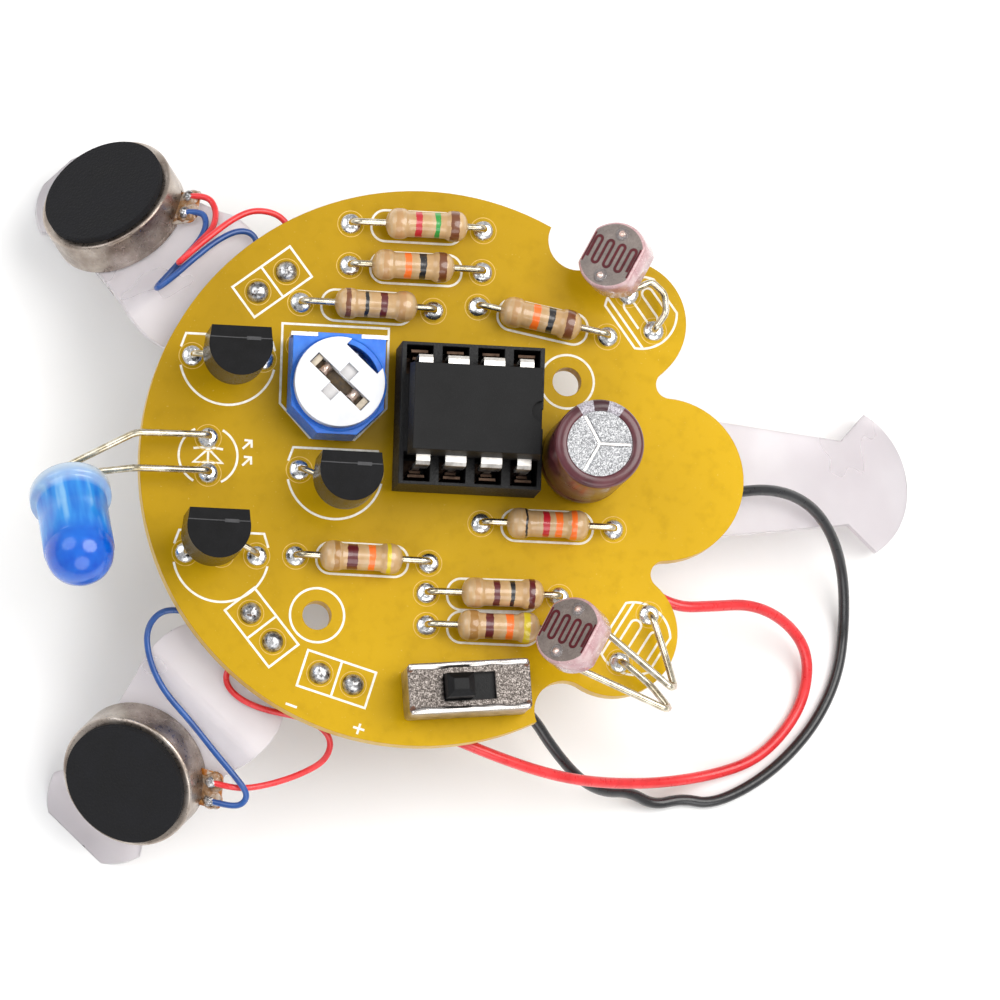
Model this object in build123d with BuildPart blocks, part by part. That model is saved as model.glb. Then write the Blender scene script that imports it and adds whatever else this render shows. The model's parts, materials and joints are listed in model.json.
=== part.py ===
from build123d import *
import math
import os

os.makedirs("parts", exist_ok=True)

# Light-seeking vibration robot: a small ladybird-shaped circuit board on three
# clear plastic legs, driven by two coin vibration motors on the rear legs.
# +X points to the head, +Y to the left side, +Z up. The feet stand on Z = 0.
# Component places are (x, y, height), from the middle of the round body of the
# board and from the board's top face.

# ------------------------------------------------------------ driving dimensions
BOARD_X, BOARD_Y = -4.859, 1.856          # middle of the round body, from the origin
BOARD_TOP = 14.2                      # top face above the floor
BOARD_T = 1.6
BODY_R = 19.9
HEAD_X, HEAD_R = 17.45, 5.85
EAR_X, EAR_Y, EAR_R = 14.3, 11.15, 4.55
NECK_FILLET_R = 1.0                   # hollow between the head and an ear
NOTCH_X, NOTCH_Y = 10.9, 16.9         # hollow between an ear and the body
NOTCH_R = 2.14
BODY_TRIM_X = 12.0                    # the round body ends here, under the ears
JOIN_OVERLAP = 1.0                    # shapes that join reach that far into each other
MOUNT_HOLES = ((10.39, 6.68), (-6.93, -10.92))
MOUNT_HOLE_R = 1.03

LEAD_D = 0.5
HOLE_R = 0.45                         # plated hole for a component lead
TAIL = 0.9                            # lead left under the board
PAD_R = 0.78
MENISCUS_TOP = 0.5
MENISCUS_BELOW = 0.7
CROWN = 0.12                          # solder width round the lead at its crest
MENISCUS_SAG = 0.38                   # how far the joint's hollow flank stands out

UNDER = -BOARD_T                      # height of the board's underside

# resistors: name, middle of the two pads, turn in degrees, body's shift on its leads
RESISTORS = (
    ("r7", -0.70, 17.26, 0.0, 0.55),
    ("r10", -0.68, 14.25, 0.0, -0.35),
    ("r11", -4.09, 11.33, -0.7, 0.50),
    ("r9", 8.52, 10.90, -10.1, -0.30),
    ("r6", 9.28, -3.80, 0.2, -0.10),
    ("r2", -3.85, -6.80, -0.3, -0.20),
    ("r5", 5.55, -8.90, 0.9, 0.55),
    ("r3", 5.63, -11.27, 0.2, 0.25),
)
RESISTOR_PITCH = 9.5
RESISTOR_L = 5.9
RESISTOR_END_R = 1.1
RESISTOR_WAIST_R = 0.93
RESISTOR_H = 1.2                      # lead axis above the board
RESISTOR_TIP_R = 0.4                  # flat end face
RESISTOR_SLOPE_L, RESISTOR_SHOULDER_L = 0.35, 1.2
RESISTOR_BEND_R = 0.65

# integrated circuit in its socket
IC_X, IC_Y = 3.1, 3.2
PIN_PITCH = 2.54
ROW_GAP = 7.62
IC_L, IC_W, IC_T = 9.4, 6.5, 3.3
IC_BASE_H = 4.7
PIN_T = 0.25
PIN_NARROW = 0.5
PIN_WIDE = 1.5
PIN_CORNER_W = 1.0                    # shoulders of the four corner pins
PIN_CORNER_SHIFT = 0.22               # corner shoulders are cut back on one side
PIN_ROOT_IN = 0.8                     # pin length inside the chip
PIN_KNEE, PIN_KNEE_DROP = 0.25, 0.13
PIN_WIDE_DROP = 1.9                   # the wide part ends this far below the shoulder
PIN_TIP_H = 1.6
IC_DRAFT = 6                          # degrees
IC_PIN_SLOT_W, IC_PIN_SLOT_IN = 1.0, 0.3
IC_NOTCH_R, IC_NOTCH_DEPTH, IC_NOTCH_IN = 0.75, 0.5, 0.1
SOCKET_SIZE = 10.16
SOCKET_FOOT_H, SOCKET_TOP_H = 0.6, 4.5
SOCKET_FLOOR_T = 0.5
POCKET_L, POCKET_W = 1.9, 2.1
SOCKET_WINDOW_L, SOCKET_WINDOW_W = 7.56, 3.2
SOCKET_KEY_R, SOCKET_KEY_DEPTH = 0.7, 0.6
CONTACT_L, CONTACT_W, CONTACT_T = 1.2, 1.7, 0.25
# spring leaves of a contact: distance outwards from the pin row, width, height
CONTACT_LEAVES = ((0.25, 0.8, 2.0), (0.65, 1.2, 2.8))
CONTACT_LEAF_T = 0.2

# transistors: name, middle pad, middle of the round side of the body
TRANSISTORS = (
    ("q1", -13.9, -6.90, -14.8, -5.95),
    ("q2", -13.9, 7.20, -13.7, 7.05),
    ("q3", -6.0, -0.60, -5.6, -1.45),
)
TO92_R, TO92_FLAT_Y, TO92_FLAT_W = 2.25, 1.25, 4.2
TO92_BASE_H, TO92_L = 2.9, 4.5
TO92_PIN_GAP = 1.27
TO92_LEAD_D = 0.45
TO92_SPREAD_LOW, TO92_SPREAD_HIGH = 1.2, 2.2   # the outer leads spread between these

# electrolytic capacitor, leaning a little towards the chip
CAP_X, CAP_Y, CAP_BASE_H = 11.62, 1.0, 0.9
CAP_LEAN = (-0.03, -0.045, 1.0)
CAP_R, CAP_L, CAP_SLEEVE_T, CAP_VENT_R = 3.15, 11.0, 0.15, 2.3
CAP_RIM_FILLET_R = 0.12
CAP_PITCH = 2.5
CAP_LEAD_IN, CAP_LEAD_KNEE_H = 0.2, 0.35

# light-emitting diode, bent out over the tail
LED_FLANGE = (-24.9, -3.2, 1.6)
LED_AXIS = (0.08, -0.757, 0.645)
LED_R, LED_FLANGE_R, LED_FLANGE_T, LED_L = 2.5, 2.9, 1.0, 8.7
LED_SIDE = (0.994, 0.105, 0)          # from one lead to the other, across the flange
LED_PADS = ((-15.10, 1.38), (-15.02, -1.16))
LED_STRAIGHT_L = 1.9                  # lead length straight behind the flange
LED_RISE_H = 1.5
LED_KNEE_X, LED_KNEE_SHIFT, LED_KNEE_H = -20.4, -0.15, 1.9
LED_BENDS = [0.8, 1.5, 0.9]

# photocells
CELL_R, CELL_FLAT, CELL_T = 2.55, 2.15, 2.0
CELL_PIN_GAP = 3.4
CELL_PIN_LINE = (0.45, 0.88, 0.0)
CELL_LEFT, CELL_LEFT_NORMAL = (12.7, 15.2, 4.6), (-0.45, 0.20, 0.87)
CELL_RIGHT, CELL_RIGHT_NORMAL = (10.2, -11.9, 5.6), (-0.54, 0.23, 0.81)
CELL_LEFT_PADS = ((16.50, 10.66), (14.60, 13.20))
CELL_RIGHT_PADS = ((16.76, -9.77), (14.72, -13.26))
CELL_LEAD_OUT = 1.0                   # lead length straight behind the cell
# knees of each lead, from its pad up to the cell
CELL_LEFT_KNEES = (
    ((16.5, 10.66, 1.1), (17.2, 11.8, 1.3), (17.0, 13.1, 1.6), (16.0, 13.9, 1.9), (14.9, 13.3, 2.1)),
    ((14.6, 13.2, 1.0), (14.8, 15.1, 1.0)),
)
CELL_RIGHT_KNEES = (
    ((16.76, -9.77, 1.1), (17.8, -12.8, 1.4), (18.4, -15.1, 2.2), (18.0, -15.3, 3.3)),
    ((14.72, -13.26, 1.1), (16.9, -15.0, 1.2), (18.1, -16.6, 1.9), (17.7, -16.8, 3.0)),
)

# trimmer
TRIM_X, TRIM_Y = -6.35, 5.15
TRIM_W, TRIM_BACK, TRIM_FRONT, TRIM_CHAMFER = 6.6, 3.6, 3.6, 1.9
TRIM_FOOT_H, TRIM_TOP_H = 0.6, 3.6
TRIM_WELL_R, TRIM_WELL_DEPTH = 2.95, 1.4
DIAL_R, DIAL_T, DIAL_GAP = 3.2, 0.9, 0.1
DIAL_STEM_R, DIAL_STEM_BORE_R = 1.3, 1.35
DIAL_STEM_WALL, DIAL_STEM_BORE_DEPTH = 0.6, 0.6   # the bore goes that far below the well
DIAL_SLOT_FLOOR_T = 0.2
DIAL_SLOT_L, DIAL_SLOT_W = 5.0, 0.95
DIAL_CROSS_L, DIAL_CROSS_DEPTH = 2.9, 0.35
DIAL_CHORD, DIAL_CHORD_L = 2.25, 3.0
DIAL_TURN = -42.0
TRIM_PINS = ((-2.5, 3.15), (2.5, 3.15), (0.0, -2.6))
TRIM_TAB_W, TRIM_TAB_T, TRIM_TAB_H = 1.9, 0.3, 1.2
TRIM_PIN_IN = 1.0                     # pin length inside the housing

# slide switch
SWITCH_X, SWITCH_Y, SWITCH_TURN = 3.6, -16.0, 5.75
SWITCH_L, SWITCH_W, SWITCH_H = 8.7, 3.6, 3.5
SWITCH_FOOT_H, SWITCH_SHEET_T = 0.6, 0.3
SWITCH_CORNER_R = 0.35
SWITCH_RIVET_L, SWITCH_RIVET_W, SWITCH_RIVET_T = 1.6, 1.0, 0.3
SWITCH_BASE_T = 0.9
SLOT_L, SLOT_W = 3.7, 1.95
KNOB_L, KNOB_W, KNOB_H = 1.95, 1.7, 1.9
KNOB_CHAMFER = 0.45
SWITCH_TRAVEL = 1.6
CARRIAGE_L, CARRIAGE_W, CARRIAGE_T = 5.6, 2.6, 0.8
CARRIAGE_GAP = 0.08
SWITCH_PIN_GAP = 2.5

# solder points where wires come up from below
WIRE_PADS = (
    (-11.92, 12.01), (-9.93, 13.57),
    (-11.65, -11.00), (-10.02, -12.95),
    (-6.59, -15.06), (-4.21, -15.74),
)

# legs, cut from clear sheet: foot end, slope and bend are measured along the leg
LEG_T = 0.8
LEG_GAP = 1.4                         # foam tape between the board and a leg
LEG_ROOT_R = 5.4
LEG_BEND_R = 1.2
LEG_PAD_CLEAR_R = 1.5                 # room cut round the solder joints above a leg
LEG_BACK = 1.0                        # spare sheet behind the root, cut off by the outline
LEG_INNER_BEND_MORE = 0.2
BEND_REACH = 1.1                      # in sheet thicknesses, where the bend edges lie below the top

# foam tapes between the board and the legs: middle, length, width, turn
LEG_TAPES = (
    (17.6, 2.9, 6.5, 3.2, 0), (-14.7, 10.3, 3.6, 3.0, 45), (-13.6, -12.75, 2.6, 1.5, -42),
    (-10.2, -15.2, 2.6, 1.4, -38),
)

# coin motors: distance down the leg, turn of the flexible tab in degrees
LEFT_MOTOR_ALONG, LEFT_TAB_TURN = 7.05, 3.5
RIGHT_MOTOR_ALONG, RIGHT_TAB_TURN = 6.2, -16.9
MOTOR_R, MOTOR_WALL, MOTOR_L = 5.0, 0.25, 2.7
MOTOR_BASE_T = 0.3
MOTOR_TAPE_R, MOTOR_TAPE_T = 3.0, 0.15
MOTOR_EDGE_R = 0.2
FLEX_SLOT_L, FLEX_SLOT_MORE, FLEX_SLOT_H = 2.5, 0.2, 0.3
MAGNET_R, MAGNET_BORE_R, MAGNET_BOTTOM, MAGNET_T = 3.7, 1.3, 0.5, 0.6
SHAFT_R, BEARING_R, BEARING_BORE_R = 0.4, 1.0, 0.44
ROTOR_R, ROTOR_BOTTOM, ROTOR_T, ROTOR_ARC = 4.35, 1.3, 0.35, 210.0
COIL_R, COIL_T, COIL_OUT, COIL_SPLAY = 1.0, 0.55, 2.6, 78.0
WEIGHT_IN, WEIGHT_T, WEIGHT_ARC = 2.7, 0.7, 84.0
PAD_FOAM_R, PAD_FOAM_T = 4.5, 0.5
FLEX_W, FLEX_T, FLEX_IN, FLEX_OUT = 2.9, 0.12, 4.0, 6.4
BLOB_L, BLOB_W, BLOB_T = 0.7, 0.7, 0.5
BLOB_SIDE, BLOB_IN = 0.75, 0.75
BLOB_CORNER_R = 0.15
FLEX_CORNER_R = 0.4

# coin-cell holder under the middle of the board
HOLDER_X, HOLDER_Y = -2.4, 2.3
HOLDER_TAPE_L, HOLDER_TAPE_W, HOLDER_TAPE_T = 9.0, 4.6, 2.0
HOLDER_R, HOLDER_BORE_R, HOLDER_FLOOR_T, HOLDER_WALL_L = 11.3, 10.2, 1.0, 3.5
HOLDER_MOUTH_W = 13.0
CELL_DISC_R, CELL_DISC_T, CELL_DISC_EDGE_R = 10.0, 3.2, 0.5
LEAF_T, LEAF_R = 0.2, 4.0
TONGUE_Y, TONGUE_W, TONGUE_OUT = -3.2, 1.6, 0.4
STRAP_W, STRAP_T, STRAP_IN = 4.0, 0.3, 0.2


# Insulated wires, each with its diameter and the points of its route. The four
# motor leads run from the solder blobs on the flexible tabs, over the legs, to
# the cones under the board. The two power wires leave the battery contacts,
# hang out past the head and the ear, lie on the floor and come back up.
MOTOR_WIRE_D = 0.45
POWER_WIRE_D = 0.8
WIRES = (
    ("motor_left_wire_blue", MOTOR_WIRE_D, (
        (-16.75, 18.24, -4.28), (-15.75, 18.28, -3.65), (-15.40, 17.35, -3.25), (-15.80, 16.15, -2.97),
        (-17.00, 14.70, -2.77), (-18.25, 13.20, -2.75), (-18.95, 12.35, -2.45), (-18.85, 12.25, -1.80),
        (-17.90, 13.00, -1.55), (-16.20, 14.65, -1.50), (-14.70, 15.95, -1.80), (-13.30, 16.75, -2.10),
        (-12.20, 16.65, -2.30), (-11.70, 15.60, -2.25), (-11.75, 14.10, -2.15), (-11.90, 12.45, -2.05))),
    ("motor_left_wire_red", MOTOR_WIRE_D, (
        (-16.42, 19.54, -4.95), (-15.35, 19.55, -4.25), (-14.70, 18.45, -3.75), (-14.95, 16.95, -2.70),
        (-16.00, 15.75, -2.25), (-16.80, 14.85, -2.27), (-17.35, 14.25, -2.10), (-17.50, 14.10, -1.60),
        (-17.10, 14.45, -1.25), (-16.30, 15.20, -1.20), (-15.20, 16.20, -1.40), (-13.70, 17.50, -1.80),
        (-12.20, 18.30, -2.10), (-10.50, 18.15, -2.30),
        (-9.55, 17.20, -2.30), (-9.60, 15.70, -2.20), (-9.90, 14.00, -2.05))),
    ("motor_right_wire_blue", MOTOR_WIRE_D, (
        (-13.36, -23.81, -5.75), (-12.30, -24.13, -5.30), (-11.30, -24.10, -4.90), (-10.95, -23.35, -4.30),
        (-11.90, -22.25, -3.90), (-13.40, -20.60, -3.90), (-15.30, -18.40, -3.75), (-17.35, -16.35, -3.40),
        (-18.50, -14.20, -2.90), (-18.80, -12.10, -2.60), (-17.75, -10.70, -2.35), (-15.80, -10.75, -2.25),
        (-14.00, -10.85, -2.15), (-12.10, -11.00, -2.05))),
    ("motor_right_wire_red", MOTOR_WIRE_D, (
        (-13.36, -22.59, -4.88), (-12.45, -22.87, -4.50), (-11.00, -22.90, -4.85), (-9.00, -22.40, -5.00),
        (-7.00, -21.60, -4.95), (-5.40, -20.60, -4.70), (-5.10, -19.10, -4.20), (-6.60, -18.00, -3.45),
        (-8.40, -17.75, -2.75), (-10.30, -17.45, -2.70), (-12.00, -16.80, -2.65), (-13.05, -15.75, -2.50),
        (-12.90, -14.60, -2.35), (-11.80, -13.80, -2.20), (-10.45, -13.15, -2.05))),
    ("power_wire_black", POWER_WIRE_D, (
        (9.25, -1.10, -4.70), (10.95, -1.20, -4.00), (12.60, -1.35, -2.85), (14.80, -1.40, -2.30),
        (18.60, -1.30, -2.30), (22.50, -0.35, -2.45), (26.10, 0.40, -4.30), (29.00, -0.10, -6.60),
        (31.10, -1.80, -8.80), (32.50, -4.40, -11.50), (33.00, -7.80, -13.50), (32.70, -11.50, -13.80),
        (31.30, -14.90, -13.80), (29.10, -17.80, -13.80), (26.50, -20.00, -13.80), (23.60, -21.45, -13.80),
        (21.50, -21.10, -13.80), (19.40, -21.75, -13.50), (17.50, -20.95, -12.50), (15.20, -21.30, -10.70),
        (13.10, -20.50, -8.90), (11.00, -18.60, -7.20), (9.40, -16.60, -6.00), (6.60, -14.60, -4.60),
        (3.00, -13.70, -3.40), (-0.80, -14.30, -2.60), (-3.85, -15.55, -2.10))),
    ("power_wire_red", POWER_WIRE_D, (
        (8.95, 0.95, -6.30), (10.70, 0.40, -6.30), (12.40, -1.60, -6.10), (14.60, -4.60, -5.70),
        (17.00, -7.10, -5.40), (19.50, -8.35, -5.60), (22.20, -8.00, -6.70), (25.50, -7.40, -8.70),
        (28.40, -8.25, -11.00), (30.30, -10.20, -12.80), (30.30, -13.20, -13.75), (29.00, -15.80, -13.80),
        (26.80, -18.10, -13.80), (23.70, -19.35, -13.50), (19.60, -20.30, -11.90), (16.00, -20.75, -9.70),
        (12.90, -20.90, -7.40), (10.00, -20.60, -5.80), (6.50, -19.80, -4.30), (3.40, -18.80, -3.40),
        (0.20, -18.00, -2.70), (-2.80, -17.65, -2.40), (-5.10, -17.05, -2.20), (-6.35, -15.55, -2.10))),
)


# ------------------------------------------------------------ places and planes
def spot(x, y, height=0.0):
    """A point given from the middle of the board's top face."""
    return Vector(BOARD_X + x, BOARD_Y + y, BOARD_TOP + height)


def level(x, y, height=0.0, turn=0.0):
    """A horizontal plane at that point, turned about +Z."""
    angle = math.radians(turn)
    return Plane(origin=spot(x, y, height), x_dir=(math.cos(angle), math.sin(angle), 0), z_dir=(0, 0, 1))


def upright(x, y, height=0.0, turn=0.0):
    """A vertical plane at that point: its X is level, its Y points up."""
    angle = math.radians(turn)
    return Plane(origin=spot(x, y, height), x_dir=(math.cos(angle), math.sin(angle), 0),
                 z_dir=(math.sin(angle), -math.cos(angle), 0))


def corner_radii(points, share=0.45):
    """Largest tangent arc that the two runs at each inner point allow."""
    radii = []
    for before, here, after in zip(points, points[1:], points[2:]):
        run_in, run_out = here - before, after - here
        half_turn = math.radians(run_in.get_angle(run_out)) / 2
        shorter = min(run_in.length, run_out.length)
        radii.append(share * shorter / math.tan(half_turn))
    return radii


def save(piece, name):
    piece.part.label = name
    export_step(piece.part, f"parts/{name}.step")


# ------------------------------------------------------------ where the leads go
def resistor_pads(x, y, turn):
    angle = math.radians(turn)
    half = RESISTOR_PITCH / 2
    dx, dy = half * math.cos(angle), half * math.sin(angle)
    return (x - dx, y - dy), (x + dx, y + dy)


def ic_pads():
    rows = (-ROW_GAP / 2, ROW_GAP / 2)
    return [(IC_X + (i - 1.5) * PIN_PITCH, IC_Y + row) for row in rows for i in range(4)]


def turned(x, y, turn, dx, dy):
    angle = math.radians(turn)
    return (x + dx * math.cos(angle) - dy * math.sin(angle),
            y + dx * math.sin(angle) + dy * math.cos(angle))


def switch_pads():
    return [turned(SWITCH_X, SWITCH_Y, SWITCH_TURN, i * SWITCH_PIN_GAP, 0) for i in (-1, 0, 1)]


def lead_holes():
    """Every plated hole with a lead in it: x, y, lead radius."""
    holes = []
    for _, x, y, turn, _ in RESISTORS:
        holes += [(*pad, LEAD_D / 2) for pad in resistor_pads(x, y, turn)]
    holes += [(*pad, LEAD_D / 2) for pad in ic_pads()]
    for _, x, y, _, _ in TRANSISTORS:
        holes += [(x + i * PIN_PITCH, y, TO92_LEAD_D / 2) for i in (-1, 0, 1)]
    holes += [(CAP_X, CAP_Y + side * CAP_PITCH / 2, LEAD_D / 2) for side in (-1, 1)]
    holes += [(*pad, LEAD_D / 2) for pad in LED_PADS + CELL_LEFT_PADS + CELL_RIGHT_PADS]
    holes += [(TRIM_X + dx, TRIM_Y + dy, LEAD_D / 2) for dx, dy in TRIM_PINS]
    holes += [(*pad, LEAD_D / 2) for pad in switch_pads()]
    return holes


# ------------------------------------------------------------ circuit board
def fillet_centre(side):
    """Middle of the hollow that touches both the head and the ear of that side."""
    head, ear = Vector(HEAD_X, 0), Vector(EAR_X, side * EAR_Y)
    to_ear = ear - head
    reach_head, reach_ear = HEAD_R + NECK_FILLET_R, EAR_R + NECK_FILLET_R
    along = (reach_head ** 2 - reach_ear ** 2 + to_ear.length ** 2) / (2 * to_ear.length)
    out = math.sqrt(reach_head ** 2 - along ** 2)
    unit = to_ear.normalized()
    across = Vector(side * unit.Y, -side * unit.X)
    return head + unit * along + across * out


def make_board():
    left, right = fillet_centre(1), fillet_centre(-1)
    with BuildPart() as circuit_board:
        with BuildSketch(level(0, 0, UNDER)):
            Circle(BODY_R)
            with Locations((BODY_TRIM_X, 0)):
                Rectangle(BODY_R, 2 * BODY_R, align=(Align.MIN, Align.CENTER), mode=Mode.SUBTRACT)
            with Locations((NOTCH_X, NOTCH_Y), (NOTCH_X, -NOTCH_Y)):
                Circle(NOTCH_R, mode=Mode.SUBTRACT)
            with Locations((HEAD_X, 0)):
                Circle(HEAD_R)
            with Locations((EAR_X, EAR_Y), (EAR_X, -EAR_Y)):
                Circle(EAR_R)
            with BuildLine():
                Polyline((BODY_TRIM_X - JOIN_OVERLAP, EAR_Y), (EAR_X, EAR_Y), (left.X, left.Y), (HEAD_X, 0),
                         (right.X, right.Y), (EAR_X, -EAR_Y), (BODY_TRIM_X - JOIN_OVERLAP, -EAR_Y),
                         close=True)
            make_face()
            with Locations((left.X, left.Y), (right.X, right.Y)):
                Circle(NECK_FILLET_R, mode=Mode.SUBTRACT)
            with Locations(*MOUNT_HOLES):
                Circle(MOUNT_HOLE_R, mode=Mode.SUBTRACT)
            with Locations(*[(x, y) for x, y, _ in lead_holes()], *WIRE_PADS):
                Circle(HOLE_R, mode=Mode.SUBTRACT)
        extrude(amount=BOARD_T)
    save(circuit_board, "circuit_board")


def solder_section(lead_r):
    """Half section of one joint: crest above the board, barrel, cone below."""
    crest_r = max(lead_r, CROWN) + CROWN
    low = UNDER - MENISCUS_BELOW
    flank_r = crest_r + MENISCUS_SAG * (PAD_R - crest_r)
    Polyline((crest_r, MENISCUS_TOP), (lead_r, MENISCUS_TOP), (lead_r, low), (crest_r, low))
    ThreePointArc((crest_r, low), (flank_r, UNDER - MENISCUS_SAG * MENISCUS_BELOW), (PAD_R, UNDER))
    Polyline((PAD_R, UNDER), (HOLE_R, UNDER), (HOLE_R, 0), (PAD_R, 0))
    ThreePointArc((PAD_R, 0), (flank_r, MENISCUS_SAG * MENISCUS_TOP), (crest_r, MENISCUS_TOP))


def make_solder(flex_blobs):
    with BuildPart() as solder_joints:
        for x, y, lead_r in [*lead_holes(), *[(x, y, 0.0) for x, y in WIRE_PADS]]:
            with BuildSketch(upright(x, y)):
                with BuildLine():
                    solder_section(lead_r)
                make_face()
            revolve(axis=Axis(spot(x, y), (0, 0, 1)))
        for blob in flex_blobs:
            with BuildSketch(blob):
                RectangleRounded(BLOB_L, BLOB_W, BLOB_CORNER_R)
            extrude(amount=BLOB_T)
    save(solder_joints, "solder_joints")


# ------------------------------------------------------------ resistors
def make_resistor(name, x, y, turn, shift):
    half = RESISTOR_L / 2
    slope, shoulder = RESISTOR_SLOPE_L, RESISTOR_SHOULDER_L
    with BuildPart() as body:
        with BuildSketch(upright(*turned(x, y, turn, shift, 0), RESISTOR_H, turn)):
            with BuildLine():
                Polyline((half, 0), (half, RESISTOR_TIP_R), (half - slope, RESISTOR_END_R),
                         (half - shoulder, RESISTOR_END_R), (half - shoulder - slope, RESISTOR_WAIST_R),
                         (-half + shoulder + slope, RESISTOR_WAIST_R), (-half + shoulder, RESISTOR_END_R),
                         (-half + slope, RESISTOR_END_R), (-half, RESISTOR_TIP_R), (-half, 0), close=True)
            make_face()
        axis = level(*turned(x, y, turn, shift, 0), RESISTOR_H, turn)
        revolve(axis=Axis(axis.origin, axis.x_dir))
    save(body, f"resistor_{name}")


def round_wire(points, radii, diameter):
    """A round wire along straight runs joined by tangent arcs."""
    with BuildPart() as wire:
        with BuildLine() as path:
            FilletPolyline(*points, radius=radii)
        with BuildSketch(Plane(origin=path.line @ 0, z_dir=path.line % 0)):
            Circle(diameter / 2)
        sweep(path=path.line)
    return wire.part


def resistor_wires():
    wires = []
    for _, x, y, turn, shift in RESISTORS:
        for side, pad in zip((-1, 1), resistor_pads(x, y, turn)):
            near = turned(x, y, turn, shift + side * RESISTOR_L / 2, 0)
            route = [spot(*near, RESISTOR_H), spot(*pad, RESISTOR_H), spot(*pad, UNDER - TAIL)]
            wires.append(round_wire(route, [RESISTOR_BEND_R], LEAD_D))
    return wires


# ------------------------------------------------------------ chip and socket
def make_ic():
    with BuildPart() as ic_body:
        with BuildSketch(level(IC_X, IC_Y, IC_BASE_H + IC_T / 2)):
            Rectangle(IC_L, IC_W)
        extrude(amount=IC_T / 2, both=True, taper=IC_DRAFT)
        with BuildSketch(level(IC_X + IC_L / 2 - IC_NOTCH_IN, IC_Y, IC_BASE_H + IC_T)):
            Circle(IC_NOTCH_R)
        extrude(amount=-IC_NOTCH_DEPTH, mode=Mode.SUBTRACT)
        for x, y in ic_pads():
            slot_y = IC_Y + math.copysign(IC_W / 2 - IC_PIN_SLOT_IN, y - IC_Y)
            with BuildSketch(level(x, slot_y, IC_BASE_H + IC_T / 2 - PIN_T / 2)):
                Rectangle(PIN_WIDE, IC_PIN_SLOT_W)
            extrude(amount=PIN_T, mode=Mode.SUBTRACT)
    save(ic_body, "ic_body")

    shoulder_h = IC_BASE_H + IC_T / 2
    with BuildPart() as ic_pins:
        for index, (x, y) in enumerate(ic_pads()):
            side = 1 if y > IC_Y else -1
            column = index % 4
            width = PIN_CORNER_W if column in (0, 3) else PIN_WIDE
            shift = {0: PIN_CORNER_SHIFT, 3: -PIN_CORNER_SHIFT}.get(column, 0.0)
            inner = IC_W / 2 - PIN_ROOT_IN
            with BuildSketch(upright(x + shift, IC_Y, shoulder_h, 90)):
                with BuildLine():
                    outer = ROW_GAP / 2 + PIN_T / 2
                    Polyline((side * inner, PIN_T / 2), (side * (outer - PIN_KNEE), PIN_T / 2),
                             (side * outer, -PIN_KNEE_DROP), (side * outer, -PIN_WIDE_DROP),
                             (side * (outer - PIN_T), -PIN_WIDE_DROP), (side * (outer - PIN_T), -PIN_T / 2),
                             (side * inner, -PIN_T / 2), close=True)
                make_face()
            extrude(amount=width / 2, both=True)
            with BuildSketch(level(x, y, shoulder_h - PIN_WIDE_DROP)):
                Rectangle(PIN_NARROW, PIN_T)
            extrude(amount=PIN_TIP_H - shoulder_h + PIN_WIDE_DROP)
    save(ic_pins, "ic_pins")


def make_socket():
    with BuildPart() as socket_body:
        with BuildSketch(level(IC_X, IC_Y, SOCKET_FOOT_H)):
            Rectangle(SOCKET_SIZE, SOCKET_SIZE)
        extrude(amount=SOCKET_TOP_H - SOCKET_FOOT_H)
        with BuildSketch(level(IC_X, IC_Y, SOCKET_FOOT_H)):
            Rectangle(SOCKET_WINDOW_L, SOCKET_WINDOW_W)
        extrude(amount=SOCKET_TOP_H - SOCKET_FOOT_H, mode=Mode.SUBTRACT)
        with BuildSketch(level(IC_X, IC_Y, SOCKET_TOP_H)):
            with GridLocations(PIN_PITCH, ROW_GAP, 4, 2):
                Rectangle(POCKET_L, POCKET_W)
        extrude(amount=-(SOCKET_TOP_H - SOCKET_FOOT_H - SOCKET_FLOOR_T), mode=Mode.SUBTRACT)
        with BuildSketch(level(IC_X, IC_Y, SOCKET_FOOT_H)):
            with GridLocations(PIN_PITCH, ROW_GAP, 4, 2):
                Circle(LEAD_D / 2)
        extrude(amount=SOCKET_FLOOR_T, mode=Mode.SUBTRACT)
        with BuildSketch(level(IC_X + SOCKET_SIZE / 2, IC_Y, SOCKET_TOP_H)):
            Circle(SOCKET_KEY_R)
        extrude(amount=-SOCKET_KEY_DEPTH, mode=Mode.SUBTRACT)
    save(socket_body, "socket_body")

    pocket_h = SOCKET_FOOT_H + SOCKET_FLOOR_T
    with BuildPart() as socket_contacts:
        for x, y in ic_pads():
            side = 1 if y > IC_Y else -1
            with BuildSketch(level(x, y, pocket_h)):
                Rectangle(CONTACT_L, CONTACT_W)
            extrude(amount=CONTACT_T)
            for out, width, height in CONTACT_LEAVES:
                with BuildSketch(level(x, y + side * out, pocket_h + CONTACT_T)):
                    Rectangle(width, CONTACT_LEAF_T)
                extrude(amount=height)
            with BuildSketch(level(x, y, UNDER - TAIL)):
                Circle(LEAD_D / 2)
            extrude(amount=pocket_h - UNDER + TAIL)
    save(socket_contacts, "socket_contacts")


# ------------------------------------------------------------ transistors
def make_transistors():
    with BuildPart() as transistor_bodies:
        for _, _, _, x, y in TRANSISTORS:
            with BuildSketch(level(x, y, TO92_BASE_H)):
                Circle(TO92_R)
                with Locations((0, TO92_FLAT_Y)):
                    Rectangle(2 * TO92_R, TO92_R, align=(Align.CENTER, Align.MIN), mode=Mode.SUBTRACT)
                with BuildLine():
                    Polyline((-TO92_R, 0), (-TO92_FLAT_W / 2, TO92_FLAT_Y), (TO92_FLAT_W / 2, TO92_FLAT_Y),
                             (TO92_R, 0), close=True)
                make_face()
            extrude(amount=TO92_L)
    save(transistor_bodies, "transistor_bodies")


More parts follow.
